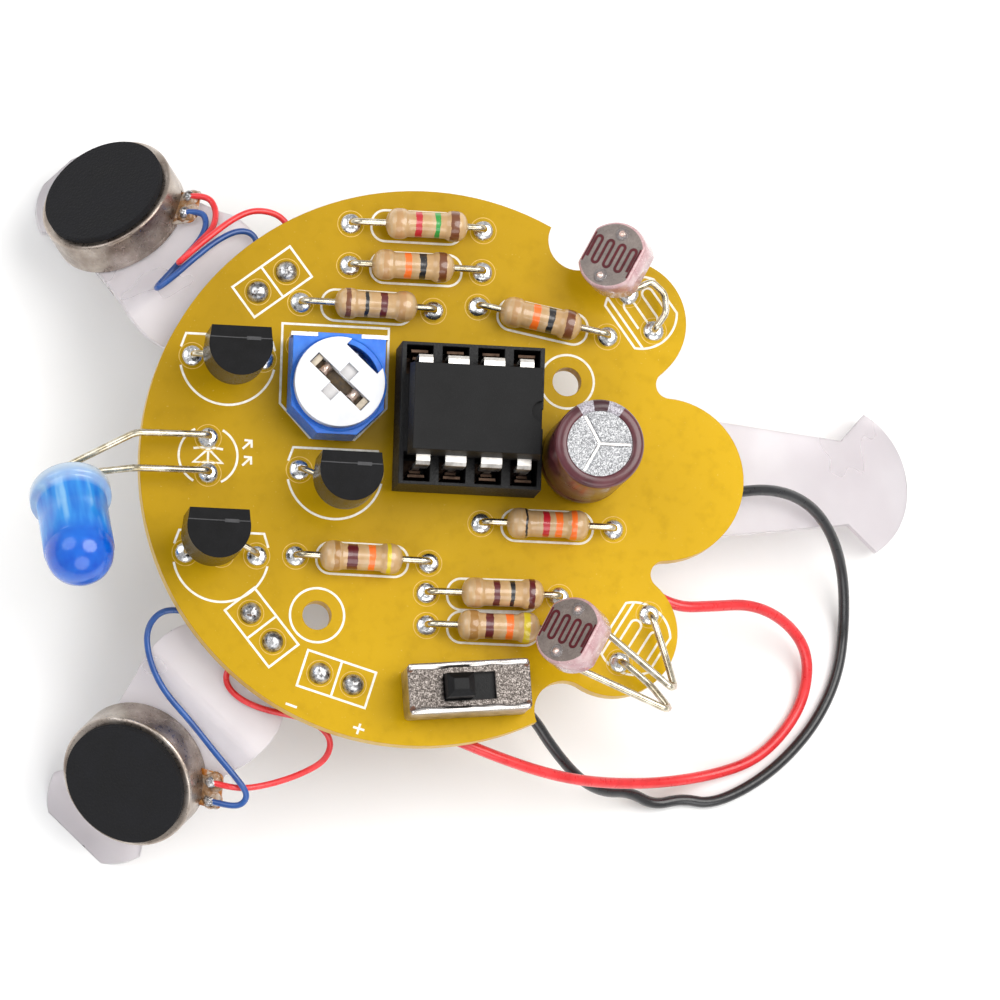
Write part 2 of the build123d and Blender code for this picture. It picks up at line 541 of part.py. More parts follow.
def transistor_wires():
    wires = []
    for _, pad_x, pad_y, x, y in TRANSISTORS:
        for i in (-1, 0, 1):
            foot_x, pin_x = pad_x + i * PIN_PITCH, x + i * TO92_PIN_GAP
            route = [spot(foot_x, pad_y, UNDER - TAIL), spot(foot_x, pad_y, TO92_SPREAD_LOW),
                     spot(pin_x, y, TO92_SPREAD_HIGH), spot(pin_x, y, TO92_BASE_H)]
            wires.append(round_wire(route, corner_radii(route, 0.3), TO92_LEAD_D))
    return wires


# ------------------------------------------------------------ capacitor
def capacitor_seat():
    return Plane(origin=spot(CAP_X, CAP_Y, CAP_BASE_H), x_dir=(1, 0, 0.03), z_dir=CAP_LEAN)


def make_capacitor():
    seat = capacitor_seat()
    can_r = CAP_R - CAP_SLEEVE_T
    with BuildPart() as capacitor_can:
        with BuildSketch(seat):
            Circle(can_r)
        extrude(amount=CAP_L - CAP_SLEEVE_T)
    save(capacitor_can, "capacitor_can")

    with BuildPart() as capacitor_sleeve:
        with BuildSketch(seat):
            Circle(CAP_R)
            Circle(can_r, mode=Mode.SUBTRACT)
        extrude(amount=CAP_L - CAP_SLEEVE_T)
        with BuildSketch(seat.offset(CAP_L - CAP_SLEEVE_T)):
            Circle(CAP_R)
            Circle(CAP_VENT_R, mode=Mode.SUBTRACT)
        extrude(amount=CAP_SLEEVE_T)
        rims = capacitor_sleeve.edges().filter_by(GeomType.CIRCLE).group_by(Axis.Z)[-1]
        fillet(rims.sort_by(SortBy.RADIUS)[-1], CAP_RIM_FILLET_R)
    save(capacitor_sleeve, "capacitor_sleeve")


def capacitor_wires():
    wires = []
    for side in (-1, 1):
        top = capacitor_seat().from_local_coords((0, side * CAP_PITCH / 2, CAP_LEAD_IN))
        pad = (CAP_X, CAP_Y + side * CAP_PITCH / 2)
        route = [spot(*pad, UNDER - TAIL), spot(*pad, CAP_LEAD_KNEE_H), top]
        wires.append(round_wire(route, corner_radii(route), LEAD_D))
    return wires


def make_component_leads():
    """Leads of the resistors, the transistors and the capacitor, up to their bodies."""
    with BuildPart() as component_leads:
        add(resistor_wires() + transistor_wires() + capacitor_wires())
        with BuildSketch(capacitor_seat()):
            Circle(CAP_R)
        extrude(amount=CAP_L, mode=Mode.SUBTRACT)
    save(component_leads, "component_leads")


# ------------------------------------------------------------ light-emitting diode
def led_seat():
    return Plane(origin=spot(*LED_FLANGE), x_dir=LED_SIDE, z_dir=LED_AXIS)


def make_led():
    seat = led_seat()
    barrel = LED_L - LED_R
    with BuildPart() as led_lens:
        section = Plane(origin=seat.origin, x_dir=seat.x_dir, z_dir=-seat.y_dir)
        with BuildSketch(section):
            with BuildLine():
                Polyline((0, LED_L), (0, 0), (LED_FLANGE_R, 0), (LED_FLANGE_R, LED_FLANGE_T),
                         (LED_R, LED_FLANGE_T), (LED_R, barrel))
                RadiusArc((LED_R, barrel), (0, LED_L), -LED_R)
            make_face()
        revolve(axis=Axis(seat.origin, seat.z_dir))
    save(led_lens, "led_lens")

    wires = []
    for side, pad in zip((-1, 1), LED_PADS):
        entry = seat.from_local_coords((side * PIN_PITCH / 2, 0, 0))
        out = seat.from_local_coords((side * PIN_PITCH / 2, 0, -LED_STRAIGHT_L))
        over = spot(LED_KNEE_X, pad[1] + LED_KNEE_SHIFT, LED_KNEE_H)
        route = [spot(*pad, UNDER - TAIL), spot(*pad, LED_RISE_H), over, out, entry]
        wires.append(round_wire(route, LED_BENDS, LEAD_D))
    with BuildPart() as led_leads:
        add(wires)
    save(led_leads, "led_leads")


# ------------------------------------------------------------ photocells
def cell_seat(place, normal):
    """Plane of a photocell's face; its X runs from one lead to the other."""
    out = Vector(*normal).normalized()
    pins = Vector(*CELL_PIN_LINE)
    return Plane(origin=spot(*place), x_dir=pins - out * pins.dot(out), z_dir=out)


def make_photocell(name, place, normal):
    seat = cell_seat(place, normal)
    with BuildPart() as photocell:
        with BuildSketch(seat.offset(-CELL_T)):
            Circle(CELL_R)
            Rectangle(2 * CELL_R, 2 * CELL_FLAT, mode=Mode.INTERSECT)
        extrude(amount=CELL_T)
    save(photocell, name)


def make_photocell_leads():
    left_back = cell_seat(CELL_LEFT, CELL_LEFT_NORMAL).offset(-CELL_T)
    right_back = cell_seat(CELL_RIGHT, CELL_RIGHT_NORMAL).offset(-CELL_T)
    half = CELL_PIN_GAP / 2
    bends = (
        (left_back, -half, CELL_LEFT_PADS[0], CELL_LEFT_KNEES[0]),
        (left_back, half, CELL_LEFT_PADS[1], CELL_LEFT_KNEES[1]),
        (right_back, half, CELL_RIGHT_PADS[0], CELL_RIGHT_KNEES[0]),
        (right_back, -half, CELL_RIGHT_PADS[1], CELL_RIGHT_KNEES[1]),
    )
    wires = []
    for back, side, pad, knees in bends:
        entry = back.from_local_coords((side, 0, 0))
        out = back.from_local_coords((side, 0, -CELL_LEAD_OUT))
        route = [spot(*pad, UNDER - TAIL), *[spot(*knee) for knee in knees], out, entry]
        wires.append(round_wire(route, corner_radii(route, 0.25), LEAD_D))
    with BuildPart() as photocell_leads:
        add(wires)
    save(photocell_leads, "photocell_leads")


# ------------------------------------------------------------ trimmer
def make_trimmer():
    height = TRIM_TOP_H - TRIM_FOOT_H
    with BuildPart() as trimmer_base:
        with BuildSketch(level(TRIM_X, TRIM_Y, TRIM_FOOT_H)):
            with BuildLine():
                Polyline((-TRIM_W / 2, TRIM_BACK), (TRIM_W / 2, TRIM_BACK),
                         (TRIM_W / 2, -TRIM_FRONT + TRIM_CHAMFER), (TRIM_W / 2 - TRIM_CHAMFER, -TRIM_FRONT),
                         (-TRIM_W / 2 + TRIM_CHAMFER, -TRIM_FRONT),
                         (-TRIM_W / 2, -TRIM_FRONT + TRIM_CHAMFER), close=True)
            make_face()
        extrude(amount=height)
        with BuildSketch(level(TRIM_X, TRIM_Y, TRIM_TOP_H)):
            Circle(TRIM_WELL_R)
            Circle(DIAL_STEM_BORE_R + DIAL_STEM_WALL, mode=Mode.SUBTRACT)
        extrude(amount=-TRIM_WELL_DEPTH, mode=Mode.SUBTRACT)
        with BuildSketch(level(TRIM_X, TRIM_Y, TRIM_TOP_H)):
            Circle(DIAL_STEM_BORE_R)
        extrude(amount=-TRIM_WELL_DEPTH - DIAL_STEM_BORE_DEPTH, mode=Mode.SUBTRACT)
        with BuildSketch(level(TRIM_X, TRIM_Y, TRIM_FOOT_H)):
            with Locations(*TRIM_PINS):
                Circle(LEAD_D / 2)
        extrude(amount=TRIM_PIN_IN, mode=Mode.SUBTRACT)
        with BuildSketch(level(TRIM_X, TRIM_Y, TRIM_TOP_H)):
            with Locations(*[(x, TRIM_BACK - TRIM_TAB_T / 2) for x, _ in TRIM_PINS[:2]]):
                Rectangle(TRIM_TAB_W, TRIM_TAB_T)
        extrude(amount=-TRIM_TAB_H, mode=Mode.SUBTRACT)
    save(trimmer_base, "trimmer_base")

    with BuildPart() as trimmer_dial:
        with BuildSketch(level(TRIM_X, TRIM_Y, TRIM_TOP_H + DIAL_GAP, DIAL_TURN)):
            Circle(DIAL_R)
            with Locations((0, DIAL_CHORD)):
                Rectangle(DIAL_CHORD_L, DIAL_R, align=(Align.CENTER, Align.MIN), mode=Mode.SUBTRACT)
        extrude(amount=DIAL_T)
        with BuildSketch(level(TRIM_X, TRIM_Y, TRIM_TOP_H + DIAL_GAP)):
            Circle(DIAL_STEM_R)
        extrude(amount=-TRIM_WELL_DEPTH)
        with BuildSketch(level(TRIM_X, TRIM_Y, TRIM_TOP_H + DIAL_GAP + DIAL_T, DIAL_TURN)):
            Rectangle(DIAL_SLOT_L, DIAL_SLOT_W)
        extrude(amount=-DIAL_T + DIAL_SLOT_FLOOR_T, mode=Mode.SUBTRACT)
        with BuildSketch(level(TRIM_X, TRIM_Y, TRIM_TOP_H + DIAL_GAP + DIAL_T, DIAL_TURN)):
            Rectangle(DIAL_SLOT_W, DIAL_CROSS_L)
        extrude(amount=-DIAL_CROSS_DEPTH, mode=Mode.SUBTRACT)
    save(trimmer_dial, "trimmer_dial")

    with BuildPart() as trimmer_terminals:
        for x, y in TRIM_PINS:
            with BuildSketch(level(TRIM_X + x, TRIM_Y + y, UNDER - TAIL)):
                Circle(LEAD_D / 2)
            extrude(amount=TAIL + BOARD_T + TRIM_FOOT_H + TRIM_PIN_IN)
        for x, _ in TRIM_PINS[:2]:
            with BuildSketch(level(TRIM_X + x, TRIM_Y + TRIM_BACK - TRIM_TAB_T / 2, TRIM_TOP_H)):
                Rectangle(TRIM_TAB_W, TRIM_TAB_T)
            extrude(amount=-TRIM_TAB_H)
    save(trimmer_terminals, "trimmer_terminals")


# ------------------------------------------------------------ slide switch
def make_switch():
    foot = SWITCH_FOOT_H
    top = foot + SWITCH_H
    with BuildPart() as switch_shell:
        with BuildSketch(level(SWITCH_X, SWITCH_Y, foot, SWITCH_TURN)):
            RectangleRounded(SWITCH_L, SWITCH_W, SWITCH_CORNER_R)
        extrude(amount=SWITCH_H)
        with BuildSketch(level(SWITCH_X, SWITCH_Y, foot, SWITCH_TURN)):
            Rectangle(SWITCH_L - 2 * SWITCH_SHEET_T, SWITCH_W - 2 * SWITCH_SHEET_T)
        extrude(amount=SWITCH_H - SWITCH_SHEET_T, mode=Mode.SUBTRACT)
        with BuildSketch(level(SWITCH_X, SWITCH_Y, top, SWITCH_TURN)):
            Rectangle(SLOT_L, SLOT_W)
        extrude(amount=-SWITCH_SHEET_T, mode=Mode.SUBTRACT)
    save(switch_shell, "switch_shell")

    inner_l, inner_w = SWITCH_L - 2 * SWITCH_SHEET_T, SWITCH_W - 2 * SWITCH_SHEET_T
    with BuildPart() as switch_base:
        with BuildSketch(level(SWITCH_X, SWITCH_Y, foot, SWITCH_TURN)):
            Rectangle(inner_l, inner_w)
            with GridLocations(SWITCH_PIN_GAP, 1, 3, 1):
                Circle(LEAD_D / 2, mode=Mode.SUBTRACT)
        extrude(amount=SWITCH_BASE_T)
    save(switch_base, "switch_base")

    carriage_h = top - SWITCH_SHEET_T - CARRIAGE_GAP - CARRIAGE_T
    rest = turned(SWITCH_X, SWITCH_Y, SWITCH_TURN, -SWITCH_TRAVEL / 2, 0)
    carriage = level(*rest, carriage_h, SWITCH_TURN)
    with BuildPart() as switch_slider:
        with BuildSketch(carriage):
            Rectangle(CARRIAGE_L, CARRIAGE_W)
        extrude(amount=CARRIAGE_T)
        with BuildSketch(carriage.offset(CARRIAGE_T)):
            Rectangle(KNOB_L, KNOB_W)
        extrude(amount=CARRIAGE_GAP + SWITCH_SHEET_T + KNOB_H)
        chamfer(switch_slider.faces().sort_by(Axis.Z)[-1].edges(), KNOB_CHAMFER)
    save(switch_slider, "switch_slider")

    with BuildPart() as switch_terminals:
        for x, y in switch_pads():
            with BuildSketch(level(x, y, UNDER - TAIL)):
                Circle(LEAD_D / 2)
            extrude(amount=TAIL + BOARD_T + foot + SWITCH_BASE_T)
            with BuildSketch(level(x, y, foot + SWITCH_BASE_T, SWITCH_TURN)):
                Rectangle(SWITCH_RIVET_L, SWITCH_RIVET_W)
            extrude(amount=SWITCH_RIVET_T)
    save(switch_terminals, "switch_terminals")


# ------------------------------------------------------------ legs
class Leg:
    """Root middle, direction and slope of one leg, and the surface that it offers."""

    def __init__(self, x, y, direction, slope, bend):
        self.x, self.y = x, y
        self.direction, self.slope, self.bend = direction, slope, bend
        self.root_top = UNDER - LEG_GAP

    def reach(self):
        """How far from the root's middle the sloping top face meets the floor."""
        return self.bend + (BOARD_TOP + self.root_top) / math.tan(math.radians(self.slope))

    def surface(self, along):
        """Plane on the sloping top face: X runs down the leg, Z stands off it."""
        way, slope = math.radians(self.direction), math.radians(self.slope)
        drop = (along - self.bend) * math.tan(slope)
        down = Vector(math.cos(slope) * math.cos(way), math.cos(slope) * math.sin(way), -math.sin(slope))
        normal = Vector(math.sin(slope) * math.cos(way), math.sin(slope) * math.sin(way), math.cos(slope))
        origin = spot(self.x + along * math.cos(way), self.y + along * math.sin(way), self.root_top - drop)
        return Plane(origin=origin, x_dir=down, z_dir=normal)


FRONT_LEG = Leg(18.5, 0.45, 6.7, 34.0, 2.5)
LEFT_LEG = Leg(-16.1, 13.2, 135.0, 44.0, 1.5)
RIGHT_LEG = Leg(-14.0, -16.6, 228.0, 44.0, 0.9)

# plan outlines: (along the leg, half width) of the widest neck, the narrow neck,
# the barb and the tip
FRONT_OUTLINE = ((3.5, 4.15), (13.9, 3.05), (16.0, 5.05), 19.1)
REAR_OUTLINE = ((2.4, 4.85), (9.0, 3.3), (10.4, 4.3), 13.3)


def make_leg(name, leg, outline, scallops):
    """Bent strip cut to the leg's outline, with room for wire joints near the root."""
    (wide_x, wide_y), (neck_x, neck_y), (barb_x, barb_y), tip = outline
    way, slope = math.radians(leg.direction), math.radians(leg.slope)
    ends = BOARD_TOP + leg.root_top
    side = Plane(origin=(BOARD_X + leg.x, BOARD_Y + leg.y, 0), x_dir=(math.cos(way), math.sin(way), 0),
                 z_dir=(math.sin(way), -math.cos(way), 0))
    plan = Plane(origin=side.origin, x_dir=side.x_dir, z_dir=(0, 0, 1))
    inner_bend = leg.bend - LEG_T * math.tan(slope / 2)
    with BuildPart() as piece:
        with BuildSketch(side):
            with BuildLine():
                Polyline((-LEG_ROOT_R - LEG_BACK, ends), (leg.bend, ends), (leg.reach(), 0),
                         (leg.reach() - LEG_T / math.sin(slope), 0), (inner_bend, ends - LEG_T),
                         (-LEG_ROOT_R - LEG_BACK, ends - LEG_T), close=True)
            make_face()
        extrude(amount=LEG_ROOT_R + LEG_BACK, both=True)
        bends = piece.edges().filter_by(lambda e: e.length > 2 * LEG_ROOT_R).filter_by(
            lambda e: e.center().Z > ends - BEND_REACH * LEG_T)
        middle = bends.filter_by(lambda e: plan.to_local_coords(e.center()).X > -LEG_ROOT_R)
        for edge in middle:
            is_outer = edge.center().Z > ends - LEG_T / 2
            fillet(edge, LEG_BEND_R if is_outer else LEG_BEND_R - LEG_T + LEG_INNER_BEND_MORE)
        with BuildSketch(plan):
            Circle(LEG_ROOT_R)
            with BuildLine():
                Polyline((0, wide_y), (wide_x, wide_y), (neck_x, neck_y), (barb_x, barb_y))
                ThreePointArc((barb_x, barb_y), (tip, 0), (barb_x, -barb_y))
                Polyline((barb_x, -barb_y), (neck_x, -neck_y), (wide_x, -wide_y), (0, -wide_y), (0, wide_y))
            make_face()
            with Locations(*[tuple(plan.to_local_coords(spot(*pad)))[:2] for pad in scallops]):
                Circle(LEG_PAD_CLEAR_R, mode=Mode.SUBTRACT)
        extrude(amount=BOARD_TOP, mode=Mode.INTERSECT)
    save(piece, name)


def make_tapes(motor_seats):
    """Foam tape under the board and thin tape under each motor."""
    with BuildPart() as adhesive_pads:
        for x, y, length, width, turn in LEG_TAPES:
            with BuildSketch(level(x, y, UNDER - LEG_GAP, turn)):
                Rectangle(length, width)
            extrude(amount=LEG_GAP)
        with BuildSketch(level(IC_X, IC_Y, UNDER - HOLDER_TAPE_T)):
            Rectangle(HOLDER_TAPE_L, HOLDER_TAPE_W)
        extrude(amount=HOLDER_TAPE_T)
        for seat in motor_seats:
            with BuildSketch(seat):
                Circle(MOTOR_TAPE_R)
            extrude(amount=MOTOR_TAPE_T)
    save(adhesive_pads, "adhesive_pads")


# ------------------------------------------------------------ coin motors
def sector_lines(radius, arc):
    """Edges of a sector of a disc, centred on +X."""
    half = math.radians(arc / 2)
    tip = (radius * math.cos(half), radius * math.sin(half))
    Line((0, 0), tip)
    ThreePointArc(tip, (radius, 0), (tip[0], -tip[1]))
    Line((tip[0], -tip[1]), (0, 0))


def flex_plane(seat, tab_angle, height):
    """Plane in the motor whose X points out along the flexible tab."""
    way = math.radians(tab_angle)
    normal = seat.z_dir
    rise = -(normal.X * math.cos(way) + normal.Y * math.sin(way)) / normal.Z
    along = Vector(math.cos(way), math.sin(way), rise)
    return Plane(origin=seat.origin, x_dir=along, z_dir=normal).offset(height)


def make_motor(side, seat, tab_angle):
    """Coin motor standing on its seat plane; its weight hangs down the slope."""
    name = f"motor_{side}"
    base = seat.offset(MOTOR_TAPE_T)
    flex_at = flex_plane(seat, tab_angle, MOTOR_TAPE_T + MOTOR_BASE_T)

    with BuildPart() as motor_base:
        with BuildSketch(base):
            Circle(MOTOR_R)
        extrude(amount=MOTOR_BASE_T)
    save(motor_base, f"{name}_base")

    with BuildPart() as motor_case:
        with BuildSketch(base.offset(MOTOR_BASE_T)):
            Circle(MOTOR_R)
        extrude(amount=MOTOR_L - MOTOR_BASE_T)
        fillet(motor_case.faces().sort_by(Axis(seat.origin, seat.z_dir))[-1].edges(), MOTOR_EDGE_R)
        with BuildSketch(base.offset(MOTOR_BASE_T)):
            Circle(MOTOR_R - MOTOR_WALL)
        extrude(amount=MOTOR_L - MOTOR_BASE_T - MOTOR_WALL, mode=Mode.SUBTRACT)
        with BuildSketch(flex_at):
            with Locations((MOTOR_R, 0)):
                Rectangle(FLEX_SLOT_L, FLEX_W + FLEX_SLOT_MORE)
        extrude(amount=FLEX_SLOT_H, mode=Mode.SUBTRACT)
    save(motor_case, f"{name}_case")

    with BuildPart() as motor_flex:
        with BuildSketch(flex_at):
            with Locations((FLEX_IN, 0)):
                Rectangle(FLEX_OUT - FLEX_IN, FLEX_W, align=(Align.MIN, Align.CENTER))
        extrude(amount=FLEX_T)
        fillet(motor_flex.edges().filter_by(Axis(seat.origin, seat.z_dir)).sort_by(
            Axis(seat.origin, flex_at.x_dir))[-2:], FLEX_CORNER_R)
    save(motor_flex, f"{name}_flex")

    with BuildPart() as motor_magnet:
        with BuildSketch(base.offset(MOTOR_BASE_T)):
            Circle(MAGNET_R)
            Circle(MAGNET_BORE_R, mode=Mode.SUBTRACT)
        extrude(amount=MAGNET_BOTTOM - MOTOR_BASE_T + MAGNET_T)
    save(motor_magnet, f"{name}_magnet")

    with BuildPart() as motor_shaft:
        with BuildSketch(base.offset(MOTOR_BASE_T)):
            Circle(SHAFT_R)
        extrude(amount=MOTOR_L - MOTOR_BASE_T - MOTOR_WALL)
    save(motor_shaft, f"{name}_shaft")

    with BuildPart() as motor_rotor:
        with BuildSketch(base.offset(ROTOR_BOTTOM)):
            with BuildLine():
                sector_lines(ROTOR_R, ROTOR_ARC)
            make_face()
            Circle(BEARING_R)
            Circle(BEARING_BORE_R, mode=Mode.SUBTRACT)
        extrude(amount=ROTOR_T)
        with BuildSketch(base.offset(ROTOR_BOTTOM + ROTOR_T)):
            Circle(BEARING_R)
            Circle(BEARING_BORE_R, mode=Mode.SUBTRACT)
            with PolarLocations(COIL_OUT, 2, start_angle=-COIL_SPLAY, angular_range=4 * COIL_SPLAY):
                Circle(COIL_R)
        extrude(amount=COIL_T)
    save(motor_rotor, f"{name}_rotor")

    with BuildPart() as motor_weight:
        with BuildSketch(base.offset(ROTOR_BOTTOM + ROTOR_T)):
            with BuildLine():
                sector_lines(ROTOR_R, WEIGHT_ARC)
            make_face()
            Circle(WEIGHT_IN, mode=Mode.SUBTRACT)
        extrude(amount=WEIGHT_T)
    save(motor_weight, f"{name}_weight")

    with BuildPart() as motor_foam:
        with BuildSketch(base.offset(MOTOR_L)):
            Circle(PAD_FOAM_R)
        extrude(amount=PAD_FOAM_T)
    save(motor_foam, f"{name}_foam")

    blobs = []
    for across in (-BLOB_SIDE, BLOB_SIDE):
        blob = Plane(origin=flex_at.from_local_coords((FLEX_OUT - BLOB_IN, across, FLEX_T)),
                     x_dir=flex_at.x_dir, z_dir=flex_at.z_dir)
        blobs.append(blob)
    return blobs


# ------------------------------------------------------------ wires
def make_wires():
    """Each wire, with its bend radii, length and how its volume compares with that length."""
    for name, diameter, places in WIRES:
        route = [spot(*place) for place in places]
        radii = corner_radii(route)
        with BuildLine() as path:
            FilletPolyline(*route, radius=radii)
        with BuildPart() as wire:
            add(round_wire(route, radii, diameter))
        save(wire, name)
        length = sum(edge.length for edge in path.edges())
        share = wire.part.volume / (math.pi * diameter ** 2 / 4 * length)
        print(name, "length", round(length, 1), "volume share", round(share, 4),
              "bends", [round(radius, 1) for radius in radii])


# ------------------------------------------------------------ battery
def make_battery():
    top = UNDER - HOLDER_TAPE_T
    floor = top - HOLDER_FLOOR_T
    cell_top = floor - LEAF_T
    cell_bottom = cell_top - CELL_DISC_T
    with BuildPart() as battery_holder:
        with BuildSketch(level(HOLDER_X, HOLDER_Y, top)):
            Circle(HOLDER_R)
        extrude(amount=-HOLDER_FLOOR_T - HOLDER_WALL_L)
        with BuildSketch(level(HOLDER_X, HOLDER_Y, floor)):
            Circle(HOLDER_BORE_R)
            with Locations((HOLDER_R, 0)):
                Rectangle(HOLDER_R, HOLDER_MOUTH_W)
        extrude(amount=-HOLDER_WALL_L, mode=Mode.SUBTRACT)
    save(battery_holder, "battery_holder")

    with BuildPart() as coin_cell:
        with BuildSketch(level(HOLDER_X, HOLDER_Y, cell_bottom)):
            Circle(CELL_DISC_R)
        extrude(amount=CELL_DISC_T)
        fillet(coin_cell.edges().group_by(Axis.Z)[0], CELL_DISC_EDGE_R)
    save(coin_cell, "coin_cell")

    strap_end = HOLDER_R - STRAP_IN
    with BuildPart() as battery_contacts:
        with BuildSketch(level(HOLDER_X, HOLDER_Y, floor)):
            Circle(LEAF_R)
            with Locations((0, TONGUE_Y)):
                Rectangle(HOLDER_R + TONGUE_OUT, TONGUE_W, align=(Align.MIN, Align.CENTER))
        extrude(amount=-LEAF_T)
        with BuildSketch(level(HOLDER_X, HOLDER_Y, cell_bottom)):
            Rectangle(strap_end + STRAP_T, STRAP_W, align=(Align.MIN, Align.CENTER))
        extrude(amount=-STRAP_T)
        with BuildSketch(level(HOLDER_X + strap_end, HOLDER_Y, cell_bottom)):
            Rectangle(STRAP_T, STRAP_W, align=(Align.MIN, Align.CENTER))
        extrude(amount=CELL_DISC_T + LEAF_T)
    save(battery_contacts, "battery_contacts")


# ------------------------------------------------------------ build everything
left_seat = LEFT_LEG.surface(LEFT_MOTOR_ALONG)
right_seat = RIGHT_LEG.surface(RIGHT_MOTOR_ALONG)

make_board()
for resistor in RESISTORS:
    make_resistor(*resistor)
make_ic()
make_socket()
make_transistors()
make_capacitor()
make_component_leads()
make_led()
make_photocell("photocell_left", CELL_LEFT, CELL_LEFT_NORMAL)
make_photocell("photocell_right", CELL_RIGHT, CELL_RIGHT_NORMAL)
make_photocell_leads()
make_trimmer()
make_switch()
make_leg("leg_front", FRONT_LEG, FRONT_OUTLINE, ())
make_leg("leg_left", LEFT_LEG, REAR_OUTLINE, WIRE_PADS[:2])
make_leg("leg_right", RIGHT_LEG, REAR_OUTLINE, WIRE_PADS[2:4])
make_tapes((left_seat, right_seat))
blobs = make_motor("left", left_seat, LEFT_TAB_TURN) + make_motor("right", right_seat, RIGHT_TAB_TURN)
make_solder(blobs)
make_battery()
make_wires()
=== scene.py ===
"""A small round-bodied walking robot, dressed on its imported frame. Lengths are in millimetres, times MM."""
import itertools
import json
import math
import random

import bmesh
import bpy
from mathutils import Matrix, Vector


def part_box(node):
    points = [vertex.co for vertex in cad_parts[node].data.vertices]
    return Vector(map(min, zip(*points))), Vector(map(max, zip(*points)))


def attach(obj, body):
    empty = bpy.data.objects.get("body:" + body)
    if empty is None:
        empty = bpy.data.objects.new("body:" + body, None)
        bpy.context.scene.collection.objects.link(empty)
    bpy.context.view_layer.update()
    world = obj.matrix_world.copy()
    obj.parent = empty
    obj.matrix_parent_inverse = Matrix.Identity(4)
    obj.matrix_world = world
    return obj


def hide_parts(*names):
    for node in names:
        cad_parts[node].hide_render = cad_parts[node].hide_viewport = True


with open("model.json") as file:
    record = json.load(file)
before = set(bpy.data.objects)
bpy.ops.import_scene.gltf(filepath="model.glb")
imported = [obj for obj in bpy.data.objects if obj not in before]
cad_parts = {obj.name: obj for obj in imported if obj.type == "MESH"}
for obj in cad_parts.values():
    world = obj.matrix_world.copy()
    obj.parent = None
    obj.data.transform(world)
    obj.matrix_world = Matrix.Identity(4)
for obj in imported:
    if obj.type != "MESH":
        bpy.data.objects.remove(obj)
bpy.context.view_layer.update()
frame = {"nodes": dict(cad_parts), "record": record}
nodes = frame["nodes"]

MM = 0.001
ROOT = "robot_frame"
BODY_R = 19.9                        # round part of the circuit board
INK_T = 0.012                        # thickness of the printed outlines
INK_W = 0.16
INK_STEP = 0.002                     # lines that cross lie on each other
INK_LAYERS = itertools.cycle(range(5))
TINY = 1e-9
LOOKS = {}                           # every material, by its name

board_low, board_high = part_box("circuit_board")
BOARD_MIDDLE = Vector((board_low.x + BODY_R * MM, (board_low.y + board_high.y) / 2, board_high.z))
BOARD_PLACE = Matrix.Translation(BOARD_MIDDLE)


# --- places
def spot(x, y, height=0.0):
    """A point given in millimetres from the middle of the board's top face."""
    return BOARD_MIDDLE + Vector((x, y, height)) * MM


def node_middle(name):
    low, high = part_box(name)
    return (low + high) / 2


def turned_place(origin, turn):
    return Matrix.Translation(origin) @ Matrix.Rotation(math.radians(turn), 4, "Z")


def aimed_place(origin, axis, side):
    """A place whose Z lies along axis and whose X leans towards side."""
    z_axis = Vector(axis).normalized()
    y_axis = z_axis.cross(Vector(side)).normalized()
    x_axis = y_axis.cross(z_axis)
    turn = Matrix((x_axis, y_axis, z_axis)).transposed().to_4x4()
    return Matrix.Translation(origin) @ turn


# --- camera, light and floor
VIEW_AIM = (5.85, -2.05)
VIEW_FROM = Vector((-0.123, -0.147, 0.98)).normalized()
VIEW_DISTANCE = 0.7
VIEW_WIDTH = 70.99                   # millimetres across the picture at the board
VIEW_ROLL = math.radians(1.75)
VIEW_END = 10.0
SENSOR = 36.0
LIGHTS = (                           # name, position and width in metres, watts, tint
    ("key_light", (0.26, 0.1, 0.52), 0.5, 2.9, (1.0, 0.985, 0.96)),
    ("fill_light", (-0.4, 0.16, 0.44), 0.5, 1.3, (0.95, 0.975, 1.0)),
    ("front_light", (0.05, -0.46, 0.38), 0.46, 1.1, (1.0, 1.0, 1.0)),
)
SKY_STRENGTH = 0.5
FLOOR_HALF = 1.5
FLOOR_DROP = 0.02 * MM               # just clear of the feet


def link_new(name, data):
    made = bpy.data.objects.new(name, data)
    bpy.context.scene.collection.objects.link(made)
    return made


def make_camera():
    data = bpy.data.cameras.new("camera")
    data.sensor_width = SENSOR
    data.lens = SENSOR * VIEW_DISTANCE / (VIEW_WIDTH * MM)
    data.clip_end = VIEW_END
    camera = link_new("camera", data)
    up = Vector((-math.sin(VIEW_ROLL), math.cos(VIEW_ROLL), 0.0))
    right = up.cross(VIEW_FROM).normalized()
    top = VIEW_FROM.cross(right)
    camera.matrix_world = (Matrix.Translation(spot(*VIEW_AIM) + VIEW_FROM * VIEW_DISTANCE)
                           @ Matrix((right, top, VIEW_FROM)).transposed().to_4x4())
    bpy.context.scene.camera = camera


def make_lights():
    for name, position, size, watts, tint in LIGHTS:
        data = bpy.data.lights.new(name, "AREA")
        data.shape = "DISK"
        data.size = size
        data.energy = watts
        data.color = tint
        lamp = link_new(name, data)
        lamp.location = position
        lamp.rotation_euler = (-Vector(position)).to_track_quat("-Z", "Y").to_euler()
    world = bpy.data.worlds.new("studio")
    bpy.context.scene.world = world
    world.use_nodes = True
    sky = world.node_tree.nodes["Background"]
    sky.inputs["Color"].default_value = (1.0, 1.0, 1.0, 1.0)
    sky.inputs["Strength"].default_value = SKY_STRENGTH
    bpy.context.scene.view_settings.view_transform = "Standard"


